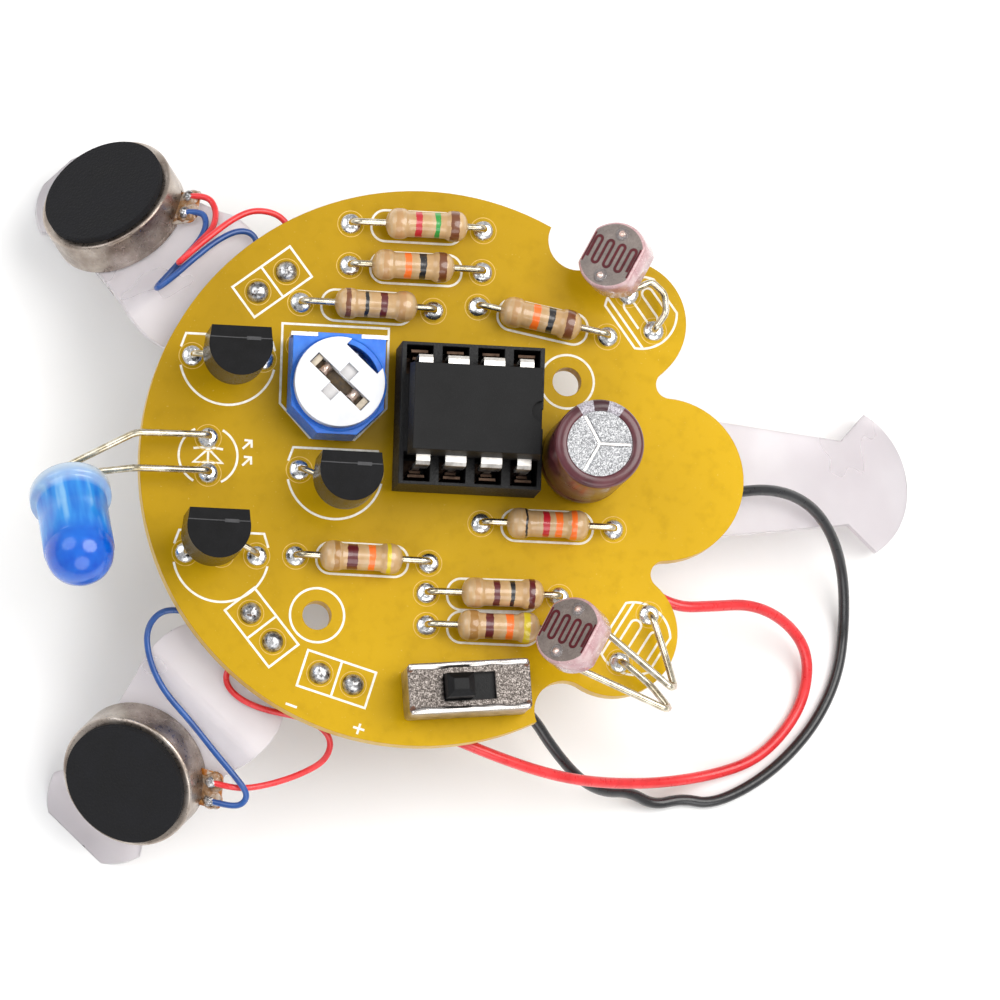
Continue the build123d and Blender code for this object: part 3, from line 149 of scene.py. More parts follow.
def make_floor():
    shape = bmesh.new()
    bmesh.ops.create_grid(shape, x_segments=8, y_segments=8, size=FLOOR_HALF)
    data = bpy.data.meshes.new("floor")
    shape.to_mesh(data)
    shape.free()
    plain("paper", (246, 246, 246), (252, 252, 252), 30.0, (0.75, 0.9), 0.01, 0.0)
    data.materials.append(LOOKS["paper"])
    floor = link_new("floor", data)
    floor.location.z = -FLOOR_DROP


# --- how a look is wired
def tone(red, green, blue):
    """A linear colour from its usual 0 to 255 values."""
    def straight(value):
        share = value / 255
        return share / 12.92 if share <= 0.04045 else ((share + 0.055) / 1.055) ** 2.4
    return (straight(red), straight(green), straight(blue), 1.0)


class Look:
    """One look being wired, node by node, with its texture in the piece's own coordinates."""

    def __init__(self, name, **sockets):
        material = bpy.data.materials.new(name)
        material.use_nodes = True
        self.tree = material.node_tree
        self.shader = self.tree.nodes["Principled BSDF"]
        self.set(self.shader, sockets)
        self.coords = self.add("ShaderNodeTexCoord").outputs["Object"]
        LOOKS[name] = material

    def plug(self, socket, value):
        """The value is another node's output, a colour from 0 to 255, or a plain number."""
        if isinstance(value, bpy.types.NodeSocket):
            self.tree.links.new(value, socket)
        else:
            socket.default_value = tone(*value) if socket.type == "RGBA" else value

    def set(self, node, sockets):
        for name, value in sockets.items():
            self.plug(node.inputs[name.replace("_", " ")], value)

    def add(self, kind, settings=None, **sockets):
        node = self.tree.nodes.new(kind)
        for name, value in (settings or {}).items():
            setattr(node, name, value)
        self.set(node, sockets)
        return node

    def stretched(self, scale):
        """The coordinates stretched along each axis."""
        return self.add("ShaderNodeMapping", {"vector_type": "POINT"}, Vector=self.coords,
                        Scale=scale).outputs["Vector"]

    def noise(self, size, detail=3.0, coords=None, rough=0.55):
        """Cloudy values from 0 to 1, with lumps of that size in millimetres."""
        return self.add("ShaderNodeTexNoise", Vector=coords or self.coords, Scale=1 / (size * MM),
                        Detail=detail, Roughness=rough).outputs["Fac"]

    def cells(self, size):
        return self.add("ShaderNodeTexVoronoi", Vector=self.coords, Scale=1 / (size * MM)).outputs

    def ramp(self, factor, colours, places=(0.3, 0.7)):
        """Colours at places along 0 to 1."""
        made = self.add("ShaderNodeValToRGB", Fac=factor)
        band = made.color_ramp
        band.elements[0].position, band.elements[0].color = places[0], tone(*colours[0])
        band.elements[1].position, band.elements[1].color = places[-1], tone(*colours[-1])
        for place, colour in zip(places[1:-1], colours[1:-1]):
            band.elements.new(place).color = tone(*colour)
        return made.outputs["Color"]

    def mix(self, factor, first, second):
        made = self.add("ShaderNodeMix", {"data_type": "RGBA"})
        for index, value in ((0, factor), (6, first), (7, second)):
            self.plug(made.inputs[index], value)
        return made.outputs[2]

    def spotted(self, base, grain, low, high, share, colour):
        """The base with up to that share of a colour over it, where the grain rises from low to high."""
        return self.mix(self.remap(grain, low, high, 0.0, share), base, colour)

    def remap(self, value, low, high, new_low=0.0, new_high=1.0):
        return self.add("ShaderNodeMapRange", Value=value, From_Min=low, From_Max=high, To_Min=new_low,
                        To_Max=new_high).outputs["Result"]

    def maths(self, operation, first, second=0.0):
        made = self.add("ShaderNodeMath", {"operation": operation})
        for socket, value in zip(made.inputs, (first, second)):
            self.plug(socket, value)
        return made.outputs["Value"]

    def average(self, first, second):
        return self.maths("MULTIPLY", self.maths("ADD", first, second), 0.5)

    def split(self, coords=None):
        return self.add("ShaderNodeSeparateXYZ", Vector=coords or self.coords).outputs

    def upward(self):
        """How much the surface faces up: the Z of its normal."""
        return self.split(self.add("ShaderNodeNewGeometry").outputs["Normal"])[2]

    def surface(self, colour, rough, height=None, depth=0.0, edge=0.0):
        """Rough is a value, or (grain, least, most). Bumps of that depth lie on edges of that radius."""
        if isinstance(rough, tuple):
            rough = self.remap(rough[0], 0.3, 0.7, *rough[1:])
        normal = None
        if edge:
            normal = self.add("ShaderNodeBevel", {"samples": 4}, Radius=edge * MM).outputs["Normal"]
        if height:
            bump = self.add("ShaderNodeBump", Height=height, Distance=depth * MM, Strength=1.0)
            if normal:
                self.plug(bump.inputs["Normal"], normal)
            normal = bump.outputs["Normal"]
        self.set(self.shader, {"Base_Color": colour, "Roughness": rough, "Normal": normal})


def plain(name, dark, light, size, rough, depth, edge=0.05, **sockets):
    """A surface of two close tones, clouded at that size, with roughness and relief from the same grain."""
    look = Look(name, **sockets)
    clouds = look.noise(size)
    grain = look.noise(size / 5, 5.0)
    look.surface(look.ramp(clouds, (dark, light)), (grain, *rough), grain, depth, edge)


def brushed(name, dark, light, stretch, rough, depth, edge=0.05):
    """Metal with fine lines, drawn out by the stretch, over a cloudy tarnish."""
    look = Look(name, Metallic=1.0)
    lines = look.noise(0.5, 4.0, look.stretched(stretch))
    tarnish = look.noise(1.6)
    metal = look.ramp(look.average(lines, tarnish), (dark, light), (0.35, 0.65))
    look.surface(metal, (lines, *rough), lines, depth, edge)


# --- looks
# painted shade and light on the board: the mask colour runs from dark at the upper left to light at the lower
# right over these spans
SHADE_SWEEP_X, SHADE_SWEEP_Y = (-24 * MM, 20 * MM), (24 * MM, -24 * MM)
LED_DOME_FADE, LED_FLANGE_FADE = (5.2 * MM, 6.6 * MM), (0.4 * MM, 1.7 * MM)


def board_look():
    """Yellow solder mask, painted darker towards the upper left and lighter towards the lower right as shade
    and light, cloudier and browner where flux dried on it, over a paler cut edge.
    """
    look = Look("board", Coat_Weight=0.04, Coat_Roughness=0.16, Specular_IOR_Level=0.09)
    wide = look.noise(16.0, 2.0)
    small = look.noise(1.1, 6.0)
    specks = look.noise(0.16, 2.0)
    x, y, _ = look.split()
    across = look.remap(x, *SHADE_SWEEP_X)
    down = look.remap(y, *SHADE_SWEEP_Y)
    # painted shade and light: a sweep from the darker upper left to the lighter lower right of the board
    shade_sweep = look.maths("ADD", look.maths("MULTIPLY", across, 0.55), look.maths("MULTIPLY", down, 0.45))
    mask = look.ramp(shade_sweep, ((168, 131, 4), (188, 149, 6), (222, 177, 12)), (0.1, 0.45, 0.95))
    mask = look.spotted(mask, wide, 0.35, 0.65, 0.3, (182, 142, 6))
    mask = look.spotted(mask, small, 0.5, 0.78, 0.26, (142, 110, 8))
    mask = look.spotted(mask, specks, 0.7, 0.78, 0.3, (246, 222, 140))
    edge_share = look.remap(look.maths("ABSOLUTE", look.upward()), 0.3, 0.6, 1.0, 0.0)
    look.surface(look.mix(edge_share, mask, (206, 170, 84)), (small, 0.34, 0.5), small, 0.006, 0.08)


def solder_look():
    look = Look("solder", Metallic=1.0)
    frost = look.noise(0.16)
    clouds = look.noise(0.7)
    both = look.average(frost, clouds)
    metal = look.ramp(both, ((196, 196, 198), (232, 233, 235), (252, 252, 252)), (0.38, 0.5, 0.62))
    look.surface(metal, (frost, 0.14, 0.3), clouds, 0.035)


def wire_solder_look():
    """The hand-soldered wire joints, with brown flux spots round them."""
    look = Look("wire_solder", Metallic=0.85)
    clouds = look.noise(0.5, 4.0)
    flux = look.noise(0.32, 5.0)
    metal = look.ramp(clouds, ((96, 94, 94), (216, 216, 218)), (0.35, 0.65))
    metal = look.spotted(metal, flux, 0.58, 0.66, 0.9, (70, 44, 18))
    look.surface(metal, (clouds, 0.14, 0.36), clouds, 0.06)


BEIGE = ((176, 138, 92), (206, 170, 122))
BAND = {
    "black": (28, 27, 29), "brown": (112, 62, 30), "dark_red": (92, 24, 26), "red": (186, 30, 42),
    "orange": (244, 112, 32), "yellow": (214, 190, 28), "green": (36, 146, 58), "gold": (160, 116, 58),
    "faint": (182, 140, 92),
}
WORN_AWAY = ("gold", "faint")        # these colours are gone where the others are thin
RAGGED = 0.055                       # how far a ring's edge wanders
RESISTOR_HALF = 3.0
COLLAR = 0.35                        # the darkened stretch at each end


def resistor_look(name, bands):
    """Beige lacquer with painted rings, each (middle, width, colour) along the body's X, in millimetres."""
    look = Look(name, Coat_Weight=0.8, Coat_Roughness=0.08)
    ragged = look.noise(0.55)
    along = look.maths("ADD", look.split()[0], look.remap(ragged, 0.3, 0.7, -RAGGED * MM, RAGGED * MM))
    rings = look.noise(0.22, 3.0, look.stretched((1.0, 0.12, 0.12)))
    skin = look.spotted(look.ramp(look.noise(1.3), BEIGE), rings, 0.5, 0.68, 0.45, (186, 168, 138))
    for middle, width, colour in bands:
        inside = look.maths("MULTIPLY", look.maths("GREATER_THAN", along, (middle - width / 2) * MM),
                            look.maths("LESS_THAN", along, (middle + width / 2) * MM))
        worn = look.remap(ragged, 0.28, 0.36, 0.0 if colour in WORN_AWAY else 0.6, 1.0)
        skin = look.mix(look.maths("MULTIPLY", inside, worn), skin, BAND[colour])
    collar = look.remap(look.maths("ABSOLUTE", along), (RESISTOR_HALF - COLLAR) * MM, RESISTOR_HALF * MM,
                        0.0, 0.5)
    look.surface(look.mix(collar, skin, (132, 98, 60)), (rings, 0.28, 0.42), rings, 0.02)


def chip_look():
    """Speckled charcoal moulding compound."""
    look = Look("chip_black", Specular_IOR_Level=0.2)
    specks = look.noise(0.07)
    base = look.ramp(look.noise(2.5, 2.0), ((13, 13, 14), (19, 19, 20)))
    look.surface(look.spotted(base, specks, 0.6, 0.72, 0.35, (58, 58, 60)),
                 (specks, 0.42, 0.62), specks, 0.012, 0.08)


def transistor_look():
    """Moulding compound: matt top face, glossier turned sides."""
    look = Look("transistor_black", Specular_IOR_Level=0.12)
    specks = look.noise(0.08)
    clouds = look.noise(1.2, 4.0)
    top = look.remap(look.upward(), 0.5, 0.9)
    base = look.mix(top, look.ramp(clouds, ((14, 14, 16), (22, 22, 25))),
                    look.ramp(clouds, ((13, 13, 14), (21, 21, 23))))
    look.surface(look.spotted(base, specks, 0.62, 0.74, 0.3, (64, 64, 67)),
                 look.remap(top, 0.0, 1.0, 0.2, 0.52), specks, 0.012, 0.06)


def can_look():
    """Bright rolled aluminium, spangled."""
    look = Look("can_aluminium", Metallic=0.9)
    frost = look.noise(0.04, 5.0)
    glitter = look.mix(0.6, look.cells(0.07)["Color"], frost)
    value = look.add("ShaderNodeRGBToBW", Color=glitter).outputs["Val"]
    metal = look.ramp(value, ((104, 105, 108), (146, 147, 150), (206, 207, 209)), (0.34, 0.5, 0.66))
    look.surface(metal, (frost, 0.36, 0.54), value, 0.008)


STRIPE_ANGLE = 1.15                  # radians round the sleeve
MINUS_PITCH = 4.2


def sleeve_look():
    """Maroon shrink sleeve with a silver-grey stripe down one side and a plain dark minus box on it."""
    look = Look("sleeve_maroon", Coat_Weight=0.35, Coat_Roughness=0.12)
    x, y, z = look.split()
    aside = look.maths("ABSOLUTE", look.maths("ARCTAN2", x, y))
    clouds = look.noise(1.6)
    skin = look.ramp(clouds, ((64, 22, 30), (92, 38, 46)))
    silver = look.ramp(look.noise(0.1), ((112, 104, 112), (196, 192, 200)), (0.38, 0.62))
    painted = look.mix(look.maths("LESS_THAN", aside, STRIPE_ANGLE / 2), skin, silver)
    repeat = look.maths("FRACT", look.maths("DIVIDE", z, MINUS_PITCH * MM))
    from_minus = look.maths("ABSOLUTE", look.maths("SUBTRACT", repeat, 0.7))
    bar = look.maths("MULTIPLY", look.maths("LESS_THAN", aside, STRIPE_ANGLE / 6),
                     look.maths("LESS_THAN", from_minus, 0.16))
    look.surface(look.mix(bar, painted, (58, 22, 30)), (clouds, 0.26, 0.4), clouds, 0.02)


def led_look():
    """Blue translucent moulding: paler in the barrel, deep in the dome, nearly clear at the flange."""
    look = Look("led_blue", Transmission_Weight=0.25, IOR=1.5, Coat_Weight=0.35, Coat_Roughness=0.1)
    height = look.split()[2]
    clouds = look.noise(1.4, 2.0)
    streaks = look.noise(0.9, 2.0, look.stretched((1.0, 1.0, 0.15)))
    barrel = look.ramp(streaks, ((30, 122, 222), (58, 156, 238), (140, 200, 248)), (0.34, 0.58, 0.76))
    dome_tone = look.ramp(clouds, ((2, 84, 206), (14, 112, 224)))
    body = look.mix(look.remap(height, *LED_DOME_FADE), barrel, dome_tone)
    flange = look.remap(height, *LED_FLANGE_FADE, 0.92, 0.0)
    look.surface(look.mix(flange, body, (206, 222, 234)), (clouds, 0.14, 0.24), clouds, 0.01)


def leg_look():
    """Hazy clear plastic sheet."""
    look = Look("clear_leg", Transmission_Weight=0.6, IOR=1.4, Coat_Weight=0.15, Coat_Roughness=0.2)
    haze = look.noise(6.0, 2.0)
    look.surface(look.ramp(haze, ((236, 230, 234), (250, 246, 249))), (haze, 0.26, 0.36), edge=0.15)


def shell_look():
    """Crinkled bright steel on the top, smoother sides."""
    look = Look("switch_steel", Metallic=1.0)
    mottle = look.noise(0.22, 5.0, rough=0.7)
    clouds = look.noise(1.2, 4.0)
    both = look.average(mottle, look.noise(0.1, 4.0))
    top = look.ramp(both, ((46, 42, 40), (90, 84, 80), (164, 156, 151)), (0.4, 0.5, 0.6))
    side = look.ramp(clouds, ((150, 142, 136), (206, 199, 194)), (0.35, 0.65))
    look.surface(look.mix(look.remap(look.upward(), 0.3, 0.7), side, top), (mottle, 0.26, 0.44), clouds,
                 0.02, 0.1)


def motor_steel_look():
    look = Look("motor_steel", Metallic=1.0)
    fine = look.noise(0.25, 4.0)
    tarnish = look.noise(2.4, 5.0)
    steel = look.ramp(tarnish, ((132, 118, 108), (172, 160, 150), (212, 203, 195)), (0.3, 0.5, 0.72))
    look.surface(steel, (fine, 0.22, 0.4), fine, 0.008, 0.12)


def foam_look():
    look = Look("motor_foam", Specular_IOR_Level=0.25)
    clouds = look.noise(2.0)
    look.surface(look.ramp(clouds, ((18, 18, 20), (28, 28, 31))), (clouds, 0.72, 0.9),
                 look.cells(0.18)["Distance"], 0.05, 0.1)


def flex_look():
    """Amber film under clear resin, with two silver pads burnt at their edges."""
    look = Look("flex_amber", Coat_Weight=0.7, Coat_Roughness=0.1)
    stain = look.noise(0.9, 5.0)
    film = look.ramp(stain, ((104, 52, 12), (176, 104, 32), (214, 166, 102)), (0.3, 0.5, 0.72))
    look.surface(look.spotted(film, look.noise(0.7), 0.54, 0.6, 0.8, (196, 190, 180)),
                 (stain, 0.24, 0.5), stain, 0.05)


def resin_look():
    """The clear amber glue on a motor's tab."""
    look = Look("tab_resin", Transmission_Weight=0.55, IOR=1.5, Coat_Weight=0.6, Coat_Roughness=0.08)
    stain = look.noise(0.8, 4.0)
    glue = look.ramp(stain, ((128, 70, 26), (196, 148, 96), (236, 224, 210)), (0.32, 0.5, 0.7))
    look.surface(glue, (stain, 0.12, 0.34), stain, 0.1)


def make_looks():
    """A look for each slot of the record, and those of the pieces that have one of their own."""
    for make in (board_look, solder_look, wire_solder_look, chip_look, transistor_look, can_look, sleeve_look,
                 led_look, leg_look, shell_look, motor_steel_look, foam_look, flex_look, resin_look):
        make()
    for name, dark, light in (("red", (206, 26, 32), (236, 56, 60)), ("blue", (18, 62, 128), (30, 84, 158)),
                              ("black", (24, 24, 26), (40, 40, 43))):
        plain("wire_" + name, dark, light, 1.8, (0.24, 0.4), 0.006, 0.0,
              Coat_Weight=0.35, Coat_Roughness=0.18)
    brushed("tinned_lead", (164, 150, 118), (238, 232, 216), (1, 1, 0.3), (0.18, 0.32), 0.001)
    brushed("pin_tin", (176, 171, 165), (240, 238, 234), (1, 0.15, 1), (0.26, 0.42), 0.002, 0.06)
    brushed("contact_copper", (34, 26, 22), (92, 74, 62), (1, 1, 0.3), (0.34, 0.5), 0.01)
    brushed("shaft_steel", (150, 150, 152), (220, 220, 222), (1, 1, 0.2), (0.15, 0.3), 0.006)
    brushed("contact_steel", (146, 144, 138), (218, 216, 210), (0.2, 1, 1), (0.2, 0.36), 0.008)
    brushed("cell_can", (160, 158, 154), (222, 220, 216), (0.3, 1, 1), (0.22, 0.38), 0.006, 0.15)
    brushed("scored_aluminium", (186, 182, 180), (236, 230, 226), (1, 1, 1), (0.3, 0.42), 0.002)
    brushed("wiper_copper", (206, 172, 152), (250, 232, 220), (1, 0.2, 1), (0.22, 0.36), 0.01)
    brushed("folded_steel", (190, 182, 177), (250, 246, 243), (0.15, 1, 1), (0.18, 0.32), 0.008)
    plain("socket_black", (10, 10, 11), (20, 20, 22), 0.8, (0.4, 0.62), 0.05, 0.1, Specular_IOR_Level=0.35)
    plain("trimmer_blue", (22, 98, 206), (38, 124, 228), 1.4, (0.34, 0.52), 0.02, 0.1, Subsurface_Weight=0.05)
    plain("dial_white", (222, 221, 224), (236, 235, 238), 2.0, (0.3, 0.46), 0.01, 0.07,
          Subsurface_Weight=0.08)
    plain("switch_board", (66, 34, 16), (104, 62, 34), 0.7, (0.5, 0.75), 0.03)
    plain("knob_black", (9, 9, 10), (18, 18, 20), 0.5, (0.3, 0.46), 0.02, 0.1, Specular_IOR_Level=0.22)
    plain("tape", (196, 192, 186), (226, 223, 218), 0.5, (0.7, 0.9), 0.05)
    plain("magnet", (58, 58, 61), (88, 88, 92), 0.4, (0.4, 0.6), 0.02, Metallic=0.6)
    plain("rotor_plate", (20, 74, 34), (34, 98, 48), 0.8, (0.35, 0.5), 0.01)
    plain("weight_metal", (92, 90, 88), (138, 136, 134), 0.4, (0.35, 0.55), 0.02, Metallic=0.9)
    plain("holder_black", (22, 22, 24), (34, 34, 37), 1.2, (0.42, 0.6), 0.02, 0.15)
    plain("cell_ceramic", (196, 140, 146), (236, 208, 208), 1.2, (0.16, 0.3), 0.02, 0.12,
          Transmission_Weight=0.25, Coat_Weight=0.7, Coat_Roughness=0.06)
    plain("cell_face", (98, 86, 80), (126, 113, 105), 1.1, (0.22, 0.36), 0.01, 0.0,
          Coat_Weight=0.25, Coat_Roughness=0.05)
    plain("cell_track", (66, 8, 16), (92, 20, 30), 0.6, (0.25, 0.4), 0.01, 0.0,
          Coat_Weight=0.1, Coat_Roughness=0.05, Specular_IOR_Level=0.2)
    plain("clear_resin", (214, 204, 204), (240, 234, 234), 0.8, (0.06, 0.14), 0.01, 0.0,
          Transmission_Weight=0.85, IOR=1.5)
    plain("copper_dot", (214, 176, 162), (246, 226, 218), 0.3, (0.18, 0.3), 0.01, 0.0, Metallic=0.7)
    plain("white_ink", (226, 220, 200), (250, 248, 240), 0.5, (0.5, 0.7), 0.01, 0.0)
    plain("mask_ring", (206, 166, 62), (232, 196, 96), 0.4, (0.3, 0.5), 0.01, 0.0)
    # a dark sheet for the floor of the dial's slot: painted shade
    plain("shaded_slot_floor", (40, 28, 12), (74, 54, 18), 0.5, (0.5, 0.7), 0.02, 0.0)
    plain("slot_end", (176, 164, 146), (206, 194, 174), 0.5, (0.4, 0.6), 0.03, 0.0)
    # a greyer copy of the dial's white: painted shade for the floors of the dial's hollows
    plain("shaded_dial_hollow", (186, 184, 184), (206, 204, 204), 0.8, (0.4, 0.6), 0.01, 0.0)
    plain("carbon_track", (18, 26, 44), (30, 42, 66), 0.6, (0.3, 0.5), 0.02, 0.0)
    plain("mould_seam", (34, 34, 37), (48, 48, 52), 0.4, (0.3, 0.5), 0.02, 0.0)


def dress_nodes():
    """The frame's own pieces get the look of their slot in the record; the replaced ones don't show."""
    for part in frame["record"]["subparts"]:
        look = LOOKS.get(part["material_slot"])
        if look:
            surfaces = nodes[part["node"]].data.materials
            surfaces.clear()
            surfaces.append(look)


# --- mesh helpers
def finish_piece(name, shape, place, slot, look=None, body=ROOT, replaces=(), smooth=True):
    """Turns a bmesh into a piece on its body; the mesh is in the place's own coordinates."""
    data = bpy.data.meshes.new(name)
    bmesh.ops.recalc_face_normals(shape, faces=shape.faces)
    for face in shape.faces:
        face.smooth = smooth
    shape.to_mesh(data)
    shape.free()
    data.materials.append(LOOKS[look or slot])
    piece = link_new(name, data)
    piece.matrix_world = place
    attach(piece, body)
    if replaces:
        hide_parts(*replaces)


def turns(count):
    return [2 * math.pi * step / count for step in range(count)]


def skin(shape, rows, around=True):
    """Faces between each row of points and the next; a row may be a single point."""
    for low, high in zip(rows, rows[1:]):
        count = max(len(low), len(high))
        for step in range(count if around else count - 1):
            places = ((low, step), (low, step + 1), (high, step + 1), (high, step))
            corners = list(dict.fromkeys(row[place % len(row)] for row, place in places))
            if len(corners) > 2:
                shape.faces.new(corners)


def cap_ends(shape, rows):
    shape.faces.new(rows[0])
    shape.faces.new(rows[-1])


def lathe(shape, profile, segments, place=Matrix.Identity(4)):
    """Turns (radius, height) points, in millimetres, about the Z axis of that place."""
    rows = []
    for radius, height in profile:
        reach = radius * MM
        rows.append([shape.verts.new(place @ Vector((reach * math.cos(a), reach * math.sin(a), height * MM)))
                     for a in turns(segments if radius > TINY else 1)])
    skin(shape, rows)


def strip(shape, points, width, height=0.0, thickness=INK_T, closed=False):
    """A flat line of that width along (x, y) points, in millimetres, with mitred corners."""
    thickness += next(INK_LAYERS) * INK_STEP
    path = [Vector(point) for point in points]
    count = len(path)
    rows = []
    for index, here in enumerate(path):
        before = path[index - 1] if closed or index else here
        after = path[(index + 1) % count] if closed or index < count - 1 else here
        run_in, run_out = here - before, after - here
        run_in = run_in.normalized() if run_in.length > TINY else run_out.normalized()
        run_out = run_out.normalized() if run_out.length > TINY else run_in
        bisector = (run_in + run_out).normalized()
        across = Vector((-bisector.y, bisector.x))
        across *= width / 2 / max(0.5, across.dot(Vector((-run_in.y, run_in.x))))
        left, right = here + across, here - across
        rows.append([shape.verts.new(Vector((side.x, side.y, height + rise)) * MM)
                     for side, rise in ((left, thickness), (right, thickness), (right, 0.0), (left, 0.0))])
    skin(shape, rows + rows[:1] if closed else rows)
    if not closed:
        cap_ends(shape, rows)


def arc(x, y, radius, start=0.0, end=360.0, steps=48):
    """Points round a circle, in degrees."""
    span = [math.radians(start + (end - start) * step / steps) for step in range(steps + 1)]
    points = [(x + radius * math.cos(a), y + radius * math.sin(a)) for a in span]
    return points[:-1] if end - start >= 360 else points


def moved(points, x, y, turn=0.0):
    """Points turned about the origin and then shifted."""
    c, s = math.cos(math.radians(turn)), math.sin(math.radians(turn))
    return [(x + px * c - py * s, y + px * s + py * c) for px, py in points]


def rounded_box(length, width, radius, steps=8):
    """The outline of a box with round corners, about the origin."""
    x, y = length / 2 - radius, width / 2 - radius
    outline = []
    for cx, cy, start in ((x, y, 0), (-x, y, 90), (-x, -y, 180), (x, -y, 270)):
        outline += arc(cx, cy, radius, start, start + 90, steps)
    return outline


def meander(strokes, pitch, half_length, shift=0.0):
    """A line that runs to and fro along X while it steps along Y, with round turns."""
    points = []
    for index in range(strokes):
        y = (index - (strokes - 1) / 2) * pitch + shift
        way = 1 if index % 2 == 0 else -1
        points += [(-way * half_length, y), (way * half_length, y)]
        if index < strokes - 1:
            start = -90 if way > 0 else 270
            points += arc(way * half_length, y + pitch / 2, pitch / 2, start, 90, 8)[1:-1]
    return points


WAVE_TURN = 6.3


def waves(rng, count, least):
    """Random waves: the phase and the size of each."""
    return [(rng.uniform(0, WAVE_TURN), rng.uniform(least, 1.0)) for _ in range(count)]


def ripple(parts, x, first, gap):
    """The waves added up at x; each runs faster than the one before it by the gap."""
    return sum(size * math.sin(x * (first + gap * n) + phase) for n, (phase, size) in enumerate(parts))


DOME_ROWS, DOME_SEGMENTS = 7, 28


def dome(shape, centre, radius, height, rng, lumps=0.06):
    """A lumpy cap of solder; a negative height hangs it under the board. Lengths in millimetres."""
    parts = waves(rng, 3, 0.3)
    rows = []
    for ring in range(DOME_ROWS):
        share = ring / (DOME_ROWS - 1)
        out = radius * math.cos(share * math.pi / 2) ** 0.8
        row = []
        for angle in turns(DOME_SEGMENTS if ring < DOME_ROWS - 1 else 1):
            wobble = ripple(parts, angle, 2, 1) / 3
            grown = out * (1 + lumps * wobble * (1 - share))
            rise = height * math.sin(share * math.pi / 2) * (1 + lumps * wobble * 2)
            point = Vector((grown * math.cos(angle), grown * math.sin(angle), rise))
            row.append(shape.verts.new(centre + point * MM))
        rows.append(row)
    skin(shape, rows)


# --- cords and motor leads
MOTOR_WIRE_D = 0.45
POWER_WIRE_D = 0.8
CORD_LENGTHS = {"power_wire_black": 0.0836, "power_wire_red": 0.0743}
ROUTES = {
    "power_wire_black": (
        (9.25, -1.1, -4.7), (10.95, -1.2, -4.0), (12.6, -1.35, -2.85), (14.8, -1.4, -2.3),
        (18.6, -1.3, -2.3), (22.5, -0.35, -2.45), (26.1, 0.4, -4.3), (29.0, -0.1, -6.6),
        (31.1, -1.8, -8.8), (32.5, -4.4, -11.5), (33.0, -7.8, -13.5), (32.7, -11.5, -13.8),
        (31.3, -14.9, -13.8), (29.1, -17.8, -13.8), (26.5, -20.0, -13.8), (23.6, -21.45, -13.8),
        (21.5, -21.1, -13.8), (19.4, -21.75, -13.5), (17.5, -20.95, -12.5), (15.2, -21.3, -10.7),
        (13.1, -20.5, -8.9), (11.0, -18.6, -7.2), (9.4, -16.6, -6.0), (6.6, -14.6, -4.6),
        (3.0, -13.7, -3.4), (-0.8, -14.3, -2.6), (-3.85, -15.55, -2.1)),
    "power_wire_red": (
        (8.95, 0.95, -6.3), (10.7, 0.4, -6.3), (12.4, -1.6, -6.1), (14.6, -4.6, -5.7),
        (17.0, -7.1, -5.4), (19.5, -8.35, -5.6), (22.2, -8.0, -6.7), (25.5, -7.4, -8.7),
        (28.4, -8.25, -11.0), (30.3, -10.2, -12.8), (30.3, -13.2, -13.75), (29.0, -15.8, -13.8),
        (26.8, -18.1, -13.8), (23.7, -19.35, -13.5), (19.6, -20.3, -11.9), (16.0, -20.75, -9.7),
        (12.9, -20.9, -7.4), (10.0, -20.6, -5.8), (6.5, -19.8, -4.3), (3.4, -18.8, -3.4),
        (0.2, -18.0, -2.7), (-2.8, -17.65, -2.4), (-5.1, -17.05, -2.2), (-6.35, -15.55, -2.1)),
    "motor_left_wire_blue": (
        (-16.75, 18.24, -4.28), (-15.75, 18.28, -3.65), (-15.4, 17.35, -3.25), (-15.8, 16.15, -2.97),
        (-17.0, 14.7, -2.77), (-18.25, 13.2, -2.75), (-18.95, 12.35, -2.45), (-18.85, 12.25, -1.8),
        (-17.9, 13.0, -1.55), (-16.2, 14.65, -1.5), (-14.7, 15.95, -1.8), (-13.3, 16.75, -2.1),
        (-12.2, 16.65, -2.3), (-11.7, 15.6, -2.25), (-11.75, 14.1, -2.15), (-11.9, 12.45, -2.05)),
    "motor_left_wire_red": (
        (-16.42, 19.54, -4.95), (-15.35, 19.55, -4.25), (-14.7, 18.45, -3.75), (-14.95, 16.95, -2.7),
        (-16.0, 15.75, -2.25), (-16.8, 14.85, -2.27), (-17.35, 14.25, -2.1), (-17.5, 14.1, -1.6),
        (-17.1, 14.45, -1.25), (-16.3, 15.2, -1.2), (-15.2, 16.2, -1.4), (-13.7, 17.5, -1.8),
        (-12.2, 18.3, -2.1), (-10.5, 18.15, -2.3), (-9.55, 17.2, -2.3), (-9.6, 15.7, -2.2),
        (-9.9, 14.0, -2.05)),
    "motor_right_wire_blue": (
        (-13.36, -23.81, -5.75), (-12.3, -24.13, -5.3), (-11.3, -24.1, -4.9), (-10.95, -23.35, -4.3),
        (-11.9, -22.25, -3.9), (-13.4, -20.6, -3.9), (-15.3, -18.4, -3.75), (-17.35, -16.35, -3.4),
        (-18.5, -14.2, -2.9), (-18.8, -12.1, -2.6), (-17.75, -10.7, -2.35), (-15.8, -10.75, -2.25),
        (-14.0, -10.85, -2.15), (-12.1, -11.0, -2.05)),
    "motor_right_wire_red": (
        (-13.36, -22.59, -4.88), (-12.45, -22.87, -4.5), (-11.0, -22.9, -4.85), (-9.0, -22.4, -5.0),
        (-7.0, -21.6, -4.95), (-5.4, -20.6, -4.7), (-5.1, -19.1, -4.2), (-6.6, -18.0, -3.45),
        (-8.4, -17.75, -2.75), (-10.3, -17.45, -2.7), (-12.0, -16.8, -2.65), (-13.05, -15.75, -2.5),
        (-12.9, -14.6, -2.35), (-11.8, -13.8, -2.2), (-10.45, -13.15, -2.05)),
}


